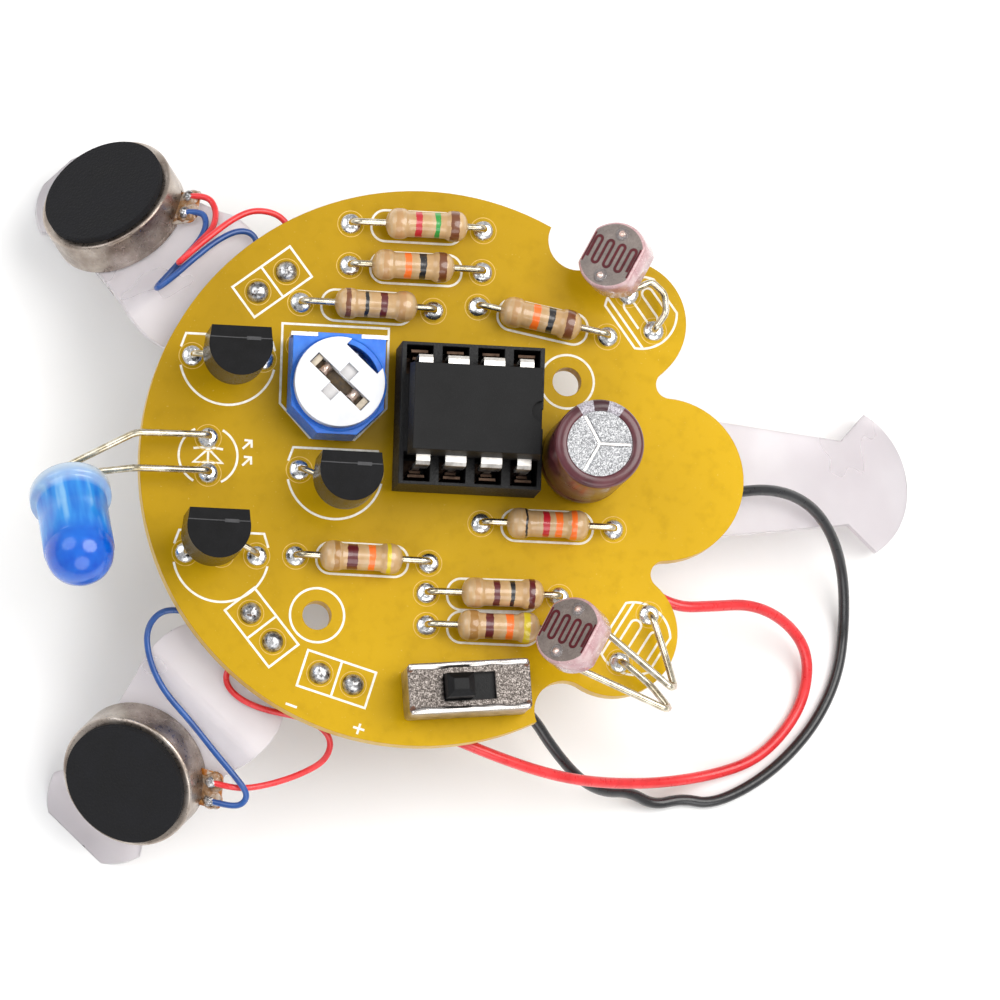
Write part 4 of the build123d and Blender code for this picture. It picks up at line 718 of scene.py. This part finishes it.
def make_wires():
    """A smooth wire along each route, in place of the frame's wire of the same name."""
    for name, route in ROUTES.items():
        length = CORD_LENGTHS.get(name)
        slot = "wire_" + name.rpartition("_")[2]
        data = bpy.data.curves.new(name + "_line", "CURVE")
        data.dimensions = "3D"
        line = data.splines.new("NURBS")
        line.points.add(len(route) - 1)
        for point, (x, y, height) in zip(line.points, route):
            point.co = spot(x, y, height).to_4d()
        line.order_u = 3
        line.use_endpoint_u = True
        line.resolution_u = 10
        data.bevel_depth = (POWER_WIRE_D if length else MOTOR_WIRE_D) / 2 * MM
        data.bevel_resolution = 6
        data.use_fill_caps = True
        data.materials.append(LOOKS[slot])
        piece = link_new(name + "_line", data)
        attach(piece, ROOT)
        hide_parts(name)


# --- printed outlines
RESISTORS = {                        # middle and turn
    "r7": (-0.7, 17.26, 0.0), "r10": (-0.68, 14.25, 0.0), "r11": (-4.09, 11.33, -0.7),
    "r9": (8.52, 10.9, -10.1), "r6": (9.28, -3.8, 0.2), "r2": (-3.85, -6.8, -0.3),
    "r5": (5.55, -8.9, 0.9), "r3": (5.63, -11.27, 0.2),
}
RESISTOR_MARK = rounded_box(6.54, 2.24, 1.0)
TRANSISTOR_PADS = ((-13.9, -6.9), (-13.9, 7.2), (-6.0, -0.6))
TRANSISTOR_MARK = ((-3.35, 0.62), (-3.02, 1.6), (3.02, 1.6), (3.35, 0.62))
TRANSISTOR_ARC = arc(0, 0, 3.4, 192, 348)
WIRE_PAD_PAIRS = (((-11.92, 12.01), (-9.93, 13.57)), ((-11.65, -11.0), (-10.02, -12.95)),
                  ((-6.59, -15.06), (-4.21, -15.74)))
WIRE_PAD_MARK = ((-2.54, -1.33), (2.54, -1.33), (2.54, 1.33), (-2.54, 1.33))
WIRE_PAD_MIDLINE = ((0, -1.25), (0, 1.25))
MINUS_AND_PLUS = (((-8.95, -17.3), (-8.15, -17.55)), ((-4.1, -18.75), (-3.3, -18.95)),
                  ((-3.6, -18.5), (-3.82, -19.25)))
MOUNT_HOLES = ((10.39, 6.68), (-6.93, -10.92))
MOUNT_RING_R = 1.93
CELL_PADS = (((16.5, 10.66), (14.6, 13.2)), ((14.72, -13.26), (16.76, -9.77)))
CELL_MARK = arc(0, 0, 2.6, -55.8, 44.7, 24) + arc(0, 0, 2.6, 135.3, 235.8, 24)
CELL_MARK_BAR = ((-2.2, 1.36), (2.2, 1.36))
CELL_MARK_MEANDER = meander(4, 0.8, 0.85, -0.4)
LED_MARK = (-15.06, 0.11)
LED_ARCS = (arc(0, 0, 2.09, -62, 62), arc(0, 0, 2.09, 118, 242))
LED_TRIANGLE = ((0, 0.48), (-1.02, -0.5), (1.02, -0.5))
LED_LINES = (((-1.05, 0.48), (-0.5, 0.56), (0.5, 0.56), (1.05, 0.48)), ((0, 0.5), (0, -0.5)))
LED_ARROW = (((2.45, 0.35), (3.05, 0.95)), ((2.55, 0.98), (3.05, 0.95), (3.08, 0.45)))
LED_ARROW_RISES = (0.25, -0.95)
TRIMMER_MARK = ((-3.8, 4.05), (3.8, 4.05), (3.8, -1.7), (1.6, -4.05), (-1.6, -4.05), (-3.8, -1.7))
TRIMMER_MARK_PLACE = (-6.28, 5.8)
CAP_SEAT = (11.62, 1.0, 0.9)
CAP_RING_R = 2.8


def make_markings():
    """White printed outlines on the board's top."""
    shape = bmesh.new()

    def ink(points, x=0.0, y=0.0, turn=0.0, closed=False):
        strip(shape, moved(points, x, y, turn), INK_W, closed=closed)

    def between(first, last):
        """The middle of two pads and the turn of the line through them."""
        (x0, y0), (x1, y1) = first, last
        return (x0 + x1) / 2, (y0 + y1) / 2, math.degrees(math.atan2(y1 - y0, x1 - x0))

    for place in RESISTORS.values():
        ink(RESISTOR_MARK, *place, closed=True)
    for place in TRANSISTOR_PADS:
        ink(TRANSISTOR_MARK, *place)
        ink(TRANSISTOR_ARC, *place)
    for pair in WIRE_PAD_PAIRS:
        ink(WIRE_PAD_MARK, *between(*pair), closed=True)
        ink(WIRE_PAD_MIDLINE, *between(*pair))
    for line in MINUS_AND_PLUS:
        ink(line)
    for line in LED_ARCS:
        ink(line, *LED_MARK)
    ink(LED_TRIANGLE, *LED_MARK, closed=True)
    for line in LED_LINES:
        ink(line, *LED_MARK)
    for rise in LED_ARROW_RISES:
        for line in LED_ARROW:
            ink(moved(line, 0, rise), *LED_MARK)
    for pair in CELL_PADS:
        ink(CELL_MARK, *between(*pair), closed=True)
        ink(CELL_MARK_BAR, *between(*pair))
        ink(CELL_MARK_MEANDER, *between(*pair))
    for place in MOUNT_HOLES:
        ink(arc(0, 0, MOUNT_RING_R), *place, closed=True)
    ink(TRIMMER_MARK, *TRIMMER_MARK_PLACE, closed=True)
    ink(arc(0, 0, CAP_RING_R), *CAP_SEAT[:2], closed=True)
    finish_piece("board_markings", shape, BOARD_PLACE, "board", "white_ink", smooth=False)


# --- solder
SOLDER_SEED = 7
WELD = 1e-7
JUST_OFF = 0.05                      # what stands further than this off a face of the board has solder on it
TAB_DEPTH = 0.3                      # solids this far under the board are the blobs on the motors' tabs
TAB_DOME_R, TAB_DOME_HEIGHTS = 0.42, (0.3, -0.25)
WIRE_REACH = 0.4
WIRE_DOME_H = 0.72
PIN_DOME_H = (0.34, 0.44)
DOME_FIT = (0.96, 1.0)
DEEPEST = 0.85
TAB_LUMPS, UNDER_LUMPS = 0.2, 0.09
RING_GAP, RING_W, RING_STEPS = 0.16, 0.05, 32


def islands(node):
    """The lowest and highest corners of each separate solid of a node."""
    shape = bmesh.new()
    shape.from_mesh(nodes[node].data)
    bmesh.ops.remove_doubles(shape, verts=shape.verts, dist=WELD)
    shape.verts.ensure_lookup_table()
    seen, found = set(), []
    for start in shape.verts:
        if start.index in seen:
            continue
        seen.add(start.index)
        waiting, low, high = [start], start.co.copy(), start.co.copy()
        while waiting:
            here = waiting.pop()
            low = Vector(map(min, low, here.co))
            high = Vector(map(max, high, here.co))
            for edge in here.link_edges:
                other = edge.other_vert(here)
                if other.index not in seen:
                    seen.add(other.index)
                    waiting.append(other)
        found.append((low, high))
    shape.free()
    return found


def make_solder():
    """Lumpy solder caps on both faces of the board, one for each solder solid of the frame."""
    rng = random.Random(SOLDER_SEED)
    made, hand_made, rings = bmesh.new(), bmesh.new(), bmesh.new()
    wire_pads = [spot(*pad) for pair in WIRE_PAD_PAIRS for pad in pair]
    for low, high in islands("solder_joints"):
        middle = (low + high) / 2
        radius = min(high.x - low.x, high.y - low.y) / 2 / MM
        is_wire = any((middle - pad).xy.length < WIRE_REACH * MM for pad in wire_pads)
        target = hand_made if is_wire else made
        if high.z < board_low.z - TAB_DEPTH * MM:
            for height in TAB_DOME_HEIGHTS:
                dome(hand_made, middle, TAB_DOME_R, height, rng, TAB_LUMPS)
            continue
        if high.z > board_high.z + JUST_OFF * MM:
            top = Vector((middle.x, middle.y, board_high.z))
            reach = radius * rng.uniform(*DOME_FIT)
            dome(target, top, reach, WIRE_DOME_H if is_wire else rng.uniform(*PIN_DOME_H), rng)
            x, y, _ = (top - BOARD_MIDDLE) / MM
            strip(rings, arc(x, y, radius + RING_GAP, steps=RING_STEPS), RING_W, closed=True)
        if low.z < board_low.z - JUST_OFF * MM:
            under = Vector((middle.x, middle.y, board_low.z))
            depth = min(DEEPEST, (board_low.z - low.z) / MM)
            dome(target, under, radius * rng.uniform(*DOME_FIT), -depth, rng, UNDER_LUMPS)
    finish_piece("solder_caps", made, Matrix.Identity(4), "solder", replaces=["solder_joints"])
    finish_piece("wire_solder_caps", hand_made, Matrix.Identity(4), "solder", "wire_solder")
    finish_piece("mask_rings", rings, BOARD_PLACE, "board", "mask_ring", smooth=False)


# --- resistors
RESISTOR_PROFILE = (
    (0.0, -2.95), (0.26, -2.95), (0.34, -2.9), (0.56, -2.84), (0.82, -2.7), (1.0, -2.48), (1.085, -2.2),
    (1.09, -1.85), (1.07, -1.62), (1.01, -1.48), (0.945, -1.38), (0.925, -1.25), (0.92, -0.6), (0.925, 0.0))
RESISTOR_SEGMENTS = 40
SWELL_Y, SWELL_Z = 0.008, 0.006
BAND_TABLE = {
    "r7": ((-2.05, 0.45, "faint"), (-0.62, 0.46, "red"), (0.72, 0.36, "green"), (1.95, 0.62, "brown")),
    "r10": ((-2.0, 0.4, "faint"), (-0.42, 0.46, "orange"), (0.64, 0.46, "black"), (2.05, 0.55, "brown")),
    "r11": ((-2.05, 0.36, "brown"), (-0.7, 0.26, "black"), (0.5, 0.46, "dark_red"), (1.8, 0.5, "faint")),
    "r9": ((-1.95, 0.42, "faint"), (-0.42, 0.5, "orange"), (0.68, 0.46, "black"), (2.05, 0.6, "brown")),
    "r6": ((-1.62, 0.16, "black"), (-0.2, 0.46, "red"), (0.72, 0.5, "orange"), (1.78, 0.42, "orange")),
    "r2": ((-1.8, 0.4, "gold"), (-0.68, 0.74, "dark_red"), (0.7, 0.46, "orange"), (1.9, 0.28, "yellow")),
    "r5": ((-1.9, 0.36, "faint"), (-0.5, 0.44, "dark_red"), (0.62, 0.3, "black"), (2.0, 0.42, "dark_red")),
    "r3": ((-1.85, 0.6, "gold"), (-0.72, 0.56, "dark_red"), (0.72, 0.52, "orange"), (1.92, 0.46, "yellow")),
}


def make_resistors():
    """Each body is a waisted lacquered form lying along its own X."""
    profile = RESISTOR_PROFILE + tuple((r, -x) for r, x in reversed(RESISTOR_PROFILE[:-1]))
    lay_down = Matrix.Rotation(math.radians(90), 4, "Y")
    for name, (_, _, turn) in RESISTORS.items():
        shape = bmesh.new()
        lathe(shape, profile, RESISTOR_SEGMENTS, lay_down)
        parts = waves(random.Random(name), 4, 0.4)
        for vert in shape.verts:
            swell = ripple(parts, vert.co.x / MM, 1.1, 0.7)
            vert.co.y *= 1 + SWELL_Y * swell
            vert.co.z *= 1 - SWELL_Z * swell
        resistor_look("bands_" + name, BAND_TABLE[name])
        place = turned_place(node_middle("resistor_" + name), turn)
        finish_piece("banded_" + name, shape, place, "resistor_body", "bands_" + name,
                     replaces=["resistor_" + name])


# --- capacitor
CAP_LEAN, CAP_SIDE = (-0.03, -0.045, 1.0), (1, 0, 0.03)
CAP_SEGMENTS = 72
CAP_PROFILE = (
    (2.95, 0.03), (3.1, 0.06), (3.15, 0.25), (3.15, 1.1), (3.09, 1.35), (3.03, 1.55), (3.09, 1.75),
    (3.15, 2.0), (3.15, 6.0), (3.15, 10.5), (3.12, 10.7), (3.04, 10.86), (2.88, 10.96), (2.64, 10.99),
    (2.42, 10.98), (2.31, 10.94), (2.29, 10.86))
VENT_R, VENT_H = 2.29, 10.9
VENT_ROWS, VENT_SEGMENTS = 30, 180
VENT_ANGLES = [math.radians(degrees) for degrees in (120.0, 0.0, -118.0)]
GROOVE_HALF, GROOVE_FLANK, GROOVE_DEPTH = 0.17, 0.08, 0.06
GROOVE_START = -0.1                  # the grooves run together at the middle
SCORE_END, SCORE_LIFT = 2.2, 0.005


def vent_height(x, y):
    """Depth of the three scored grooves at a point of the can's top, in millimetres."""
    depth = 0.0
    for angle in VENT_ANGLES:
        along = x * math.cos(angle) + y * math.sin(angle)
        across = -x * math.sin(angle) + y * math.cos(angle)
        if along > GROOVE_START:
            depth = max(depth, min(1.0, max(0.0, (GROOVE_HALF - abs(across)) / GROOVE_FLANK)))
    return -GROOVE_DEPTH * depth


def make_capacitor():
    """The shrink sleeve with its crimp, and the scored top of the can."""
    place = aimed_place(spot(*CAP_SEAT), CAP_LEAN, CAP_SIDE)
    shape = bmesh.new()
    lathe(shape, CAP_PROFILE, CAP_SEGMENTS)
    finish_piece("printed_sleeve", shape, place, "sleeve_maroon", replaces=["capacitor_sleeve"])
    vent = bmesh.new()
    rows = []
    for ring in range(VENT_ROWS + 1):
        radius = VENT_R * ring / VENT_ROWS
        points = [(radius * math.cos(a), radius * math.sin(a)) for a in turns(VENT_SEGMENTS if ring else 1)]
        rows.append([vent.verts.new(Vector((x, y, VENT_H + vent_height(x, y))) * MM) for x, y in points])
    skin(vent, rows)
    finish_piece("can_vent", vent, place, "can_aluminium")
    scores = bmesh.new()
    for angle in VENT_ANGLES:
        strip(scores, [(0, 0), (SCORE_END * math.cos(angle), SCORE_END * math.sin(angle))],
              2 * (GROOVE_HALF - GROOVE_FLANK), VENT_H - GROOVE_DEPTH + SCORE_LIFT)
    finish_piece("vent_scores", scores, place, "can_aluminium", "scored_aluminium", smooth=False)


# --- light-emitting diode
LED_SEAT = (-24.9, -3.2, 1.6)
LED_AXIS = (0.08, -0.757, 0.645)
LED_SIDE = (0.994, 0.105, 0)
LED_SEGMENTS = 64
LED_PROFILE = (
    (0.0, 0.0), (2.72, 0.0), (2.86, 0.06), (2.9, 0.2), (2.9, 0.82), (2.84, 0.95), (2.62, 1.02), (2.5, 1.12),
    (2.5, 3.5), (2.5, 6.14), (2.46, 6.2), (2.44, 6.32), (2.4, 6.75), (2.27, 7.25), (2.05, 7.67), (1.74, 8.02),
    (1.35, 8.32), (0.9, 8.53), (0.45, 8.66), (0.0, 8.7))


def make_led():
    shape = bmesh.new()
    lathe(shape, LED_PROFILE, LED_SEGMENTS)
    place = aimed_place(spot(*LED_SEAT), LED_AXIS, LED_SIDE)
    finish_piece("led_moulding", shape, place, "led_blue", replaces=["led_lens"])


# --- photocells
CELL_R, CELL_FLAT, CELL_T, CELL_SEGMENTS = 2.55, 2.15, 2.0, 64
CELL_PIN_LINE = Vector((0.45, 0.88, 0.0))
CELLS = {                            # seat and the way it faces
    "photocell_left": ((12.7, 15.2, 4.6), (-0.45, 0.2, 0.87)),
    "photocell_right": ((10.2, -11.9, 5.6), (-0.54, 0.23, 0.81)),
}
CELL_LEVELS = ((0.12, -CELL_T), (0.0, 0.12 - CELL_T), (0.0, -0.22), (0.04, -0.09), (0.16, 0.0))
FACE_INSET, FACE_LEVELS = 0.2, (-0.01, 0.015)
TRACK = meander(8, 0.485, 0.74)
TRACK_W, TRACK_H = 0.21, 0.016
EDGE_HALF, EDGE_Y, EDGE_W = 1.15, 1.9, 0.14
CELL_DOT = 1.68
RESIN_R, RESIN_H, DOT_R, DOT_H, DOT_LUMPS = 0.52, 0.13, 0.29, 0.18, 0.05


def cell_level(inset, height):
    """Round outline with two straight sides, pulled in by that much, at a height."""
    limit = CELL_FLAT - inset
    circle = arc(0, 0, CELL_R - inset, steps=CELL_SEGMENTS)
    return [(x, max(-limit, min(limit, y)), height) for x, y in circle]


def stacked(shape, levels):
    """A closed form through outlines with equal point counts, in millimetres."""
    rows = [[shape.verts.new(Vector(point) * MM) for point in outline] for outline in levels]
    skin(shape, rows)
    cap_ends(shape, rows)


def make_photocells():
    for name, (seat, normal) in CELLS.items():
        place = aimed_place(spot(*seat), Vector(normal).normalized(), CELL_PIN_LINE)
        body, face, track, resin, dots = (bmesh.new() for _ in range(5))
        stacked(body, [cell_level(*level) for level in CELL_LEVELS])
        finish_piece(name + "_wall", body, place, "cell_ceramic", replaces=[name])
        stacked(face, [cell_level(FACE_INSET, height) for height in FACE_LEVELS])
        finish_piece(name + "_face", face, place, "cell_ceramic", "cell_face", smooth=False)
        strip(track, TRACK, TRACK_W, TRACK_H)
        for y in (-EDGE_Y, EDGE_Y):
            strip(track, [(-EDGE_HALF, y), (EDGE_HALF, y)], EDGE_W, TRACK_H)
        finish_piece(name + "_track", track, place, "cell_ceramic", "cell_track", smooth=False)
        rng = random.Random(name)
        for x in (-CELL_DOT, CELL_DOT):
            middle = Vector((x, 0, 0.0)) * MM
            dome(resin, middle, RESIN_R, RESIN_H, rng, DOT_LUMPS)
            dome(dots, middle, DOT_R, DOT_H, rng, DOT_LUMPS)
        finish_piece(name + "_resin", resin, place, "cell_ceramic", "clear_resin")
        finish_piece(name + "_dots", dots, place, "contact_copper", "copper_dot")


# --- trimmer
TRIM = (-6.35, 5.15)
DIAL_TURN = -42.0
DIAL_BODY = "trimmer_rotor"
SLOT_FLOOR, DIAL_TOP, WELL_FLOOR = 3.9, 4.6, 2.2
SLOT_HALF_L, SLOT_HALF_W, SLOT_RISE = 2.42, 0.43, (0.01, 0.06)
FOLDS, FOLD_W, FOLD_RISE = ((-1.75, -0.95), (0.95, 1.75)), 0.72, (0.1, 0.62)
END_X, END_HALF_L, END_HALF_W, END_RISE = 2.2, 0.22, 0.44, 0.42
HOLLOW_Y, HOLLOW_HALF, HOLLOW_DROPS = 0.98, 0.44, (0.34, 0.31)
WELL_ARC, WELL_W, WELL_LIFT, WELL_T = arc(0, 0, 2.35, 20, 160, 24), 0.9, 0.01, 0.05
RIDGE, RIDGE_W, RIDGE_H, RIDGE_T = arc(0, 0, 3.38, steps=72), 0.1, 3.58, 0.09
CONTACT_PLACE, CONTACT_TURN = (-0.35, 2.55, 0), 0.5
CONTACT_SPAN, CONTACT_W, CONTACT_RISE = (-0.75, 0.35), 0.5, (0.3, 1.0)
SHEET_T = 0.1
FINE_BEVEL, END_BEVEL = 0.01, 0.04


def box_form(shape, low, high, bevel):
    """A box with softened edges, in millimetres."""
    made = bmesh.ops.create_cube(shape, size=1.0)["verts"]
    for vert in made:
        vert.co = Vector(a + (c + 0.5) * (b - a) for a, b, c in zip(low, high, vert.co)) * MM
    edges = {edge for vert in made for edge in vert.link_edges}
    bmesh.ops.bevel(shape, geom=list(edges), offset=bevel * MM, segments=2, affect="EDGES", profile=0.5)


def arch(shape, span, width, floor, rise, steps=12):
    """A sheet strip folded up in a low arch along X."""
    (x0, x1), (low, high) = span, rise
    rows = []
    for step in range(steps + 1):
        share = step / steps
        x = x0 + (x1 - x0) * share
        z = floor + low + (high - low) * math.sin(math.pi * share) ** 0.7
        rows.append([shape.verts.new(Vector((x, y * width / 2, z - drop)) * MM)
                     for y, drop in ((-1, 0.0), (1, 0.0), (1, SHEET_T), (-1, SHEET_T))])
    skin(shape, rows)


def make_dial_details():
    """What shows in the dial's slot and its cut-away: a floor painted dark as shade, copper wiper folds, pale
    ends, and hollows with painted shade at their floors.
    """
    place = turned_place(spot(*TRIM), DIAL_TURN)
    floor, folds, ends, hollows, well, ridge, contact = (bmesh.new() for _ in range(7))
    # the slot's floor is a thin dark sheet: painted shade at the bottom of the slot
    box_form(floor, (-SLOT_HALF_L, -SLOT_HALF_W, SLOT_FLOOR + SLOT_RISE[0]),
             (SLOT_HALF_L, SLOT_HALF_W, SLOT_FLOOR + SLOT_RISE[1]), FINE_BEVEL)
    finish_piece("dial_slot_floor", floor, place, "contact_copper", "shaded_slot_floor", DIAL_BODY)
    for span in FOLDS:
        arch(folds, span, FOLD_W, SLOT_FLOOR, FOLD_RISE)
    finish_piece("dial_wiper", folds, place, "contact_copper", "wiper_copper", DIAL_BODY)
    for x in (-END_X, END_X):
        box_form(ends, (x - END_HALF_L, -END_HALF_W, SLOT_FLOOR),
                 (x + END_HALF_L, END_HALF_W, SLOT_FLOOR + END_RISE), END_BEVEL)
    finish_piece("dial_slot_ends", ends, place, "dial_white", "slot_end", DIAL_BODY)
    # the hollows' floors get painted shade: a greyer copy of the dial's white is set in each recess
    for y in (-HOLLOW_Y, HOLLOW_Y):
        box_form(hollows, (-HOLLOW_HALF, y - HOLLOW_HALF, DIAL_TOP - HOLLOW_DROPS[0]),
                 (HOLLOW_HALF, y + HOLLOW_HALF, DIAL_TOP - HOLLOW_DROPS[1]), FINE_BEVEL)
    finish_piece("dial_hollows", hollows, place, "dial_white", "shaded_dial_hollow", DIAL_BODY)
    strip(well, WELL_ARC, WELL_W, WELL_FLOOR + WELL_LIFT, WELL_T)
    finish_piece("trimmer_track", well, place, "trimmer_blue", "carbon_track")
    strip(ridge, RIDGE, RIDGE_W, RIDGE_H, RIDGE_T, closed=True)
    finish_piece("trimmer_ridge", ridge, place, "trimmer_blue")
    arch(contact, CONTACT_SPAN, CONTACT_W, WELL_FLOOR, CONTACT_RISE)
    place = place @ Matrix.Translation(Vector(CONTACT_PLACE) * MM) @ Matrix.Rotation(CONTACT_TURN, 4, "Z")
    finish_piece("dial_contact", contact, place, "pin_tin", body=DIAL_BODY)


# --- switch
SWITCH = (3.6, -16.0)
SWITCH_TURN = 5.75
SWITCH_L, SWITCH_W, SWITCH_TOP = 8.7, 3.6, 4.1
LIP_END, LIP_INSET, LIP_W, LIP_H, LIP_STEPS = 0.25, 0.02, 0.42, 0.12, 44
LIP_SWAY, LIP_HEAVE = 0.35, 0.3
CORNER_INSET = (0.22, 0.42)
CORNER_R, CORNER_H, CORNER_DROP, CORNER_LUMPS = 0.22, 0.04, 0.02, 0.15
SWITCH_SEED = 11


def wavy_lip(shape, side, rng):
    """A rolled lip along the shell's long edge; its inner edge wanders."""
    parts = waves(rng, 4, 0.5)
    outer = SWITCH_W / 2 - LIP_INSET
    rows = []
    for step in range(LIP_STEPS + 1):
        x = (step / LIP_STEPS - 0.5) * (SWITCH_L - LIP_END)
        wander = ripple(parts, x, 0.8, 0.9) / 4
        inner = LIP_W * (1 + LIP_SWAY * wander)
        crown = LIP_H * (1 + LIP_HEAVE * wander)
        profile = ((outer, -0.25), (outer, 0.35 * crown), (outer - 0.25 * inner, crown),
                   (outer - 0.6 * inner, 0.9 * crown), (outer - inner, 0.1 * crown), (outer - inner, -0.05))
        rows.append([shape.verts.new(Vector((x, side * y, SWITCH_TOP + z)) * MM) for y, z in profile])
    skin(shape, rows, around=False)
    cap_ends(shape, rows)


def make_switch_trim():
    rng = random.Random(SWITCH_SEED)
    place = turned_place(spot(*SWITCH), SWITCH_TURN)
    lips, corners = bmesh.new(), bmesh.new()
    for side in (-1, 1):
        wavy_lip(lips, side, rng)
    finish_piece("switch_lips", lips, place, "switch_steel", "folded_steel")
    for x, y in itertools.product((-1, 1), (-1, 1)):
        middle = Vector((x * (SWITCH_L / 2 - CORNER_INSET[0]), y * (SWITCH_W / 2 - CORNER_INSET[1]),
                         SWITCH_TOP - CORNER_DROP)) * MM
        dome(corners, middle, CORNER_R, CORNER_H, rng, CORNER_LUMPS)
    finish_piece("switch_corner_holes", corners, place, "switch_board")


# --- transistors
TRANSISTOR_TOPS = ((-14.8, -5.95), (-13.7, 7.05), (-5.6, -1.45))
TRANSISTOR_TOP_H = 7.4
SEAM, SEAM_W = ((-2.18, 0.42), (-0.4, 0.4), (2.18, 0.42)), 0.07
EJECTOR, EJECTOR_W = ((0.4, 0.4), (1.4, 0.4)), 0.24


def make_transistor_seams():
    """The mould's parting line across each top, and an ejector mark."""
    seam = bmesh.new()
    for top in TRANSISTOR_TOPS:
        strip(seam, moved(SEAM, *top), SEAM_W, TRANSISTOR_TOP_H)
        strip(seam, moved(EJECTOR, *top), EJECTOR_W, TRANSISTOR_TOP_H)
    finish_piece("transistor_seams", seam, BOARD_PLACE, "transistor_black", "mould_seam", smooth=False)


# --- motors
MOTOR_NORMALS = {"left": (-0.4912, 0.4912, 0.7193), "right": (-0.4648, -0.5162, 0.7193)}
GLUE_BLOBS = ((-0.1, 0.0, 1.15), (0.55, 0.65, 0.8), (0.45, -0.7, 0.85))
GLUE_LIFT, GLUE_H, GLUE_LUMPS = 0.05, 0.34, 0.28


def make_motor_resin():
    """The clear amber glue over each motor's flexible tab."""
    for side, normal in MOTOR_NORMALS.items():
        rng = random.Random(side)
        place = aimed_place(node_middle(f"motor_{side}_flex"), normal, (1, 0, 0))
        shape = bmesh.new()
        for x, y, radius in GLUE_BLOBS:
            dome(shape, Vector((x, y, GLUE_LIFT)) * MM, radius, GLUE_H, rng, GLUE_LUMPS)
        finish_piece(f"motor_{side}_resin", shape, place, "flex_amber", "tab_resin")


def main():
    make_camera()
    make_looks()
    make_wires()
    make_lights()
    make_floor()
    dress_nodes()
    make_markings()
    make_solder()
    make_resistors()
    make_capacitor()
    make_led()
    make_photocells()
    make_dial_details()
    make_switch_trim()
    make_transistor_seams()
    make_motor_resin()


main()
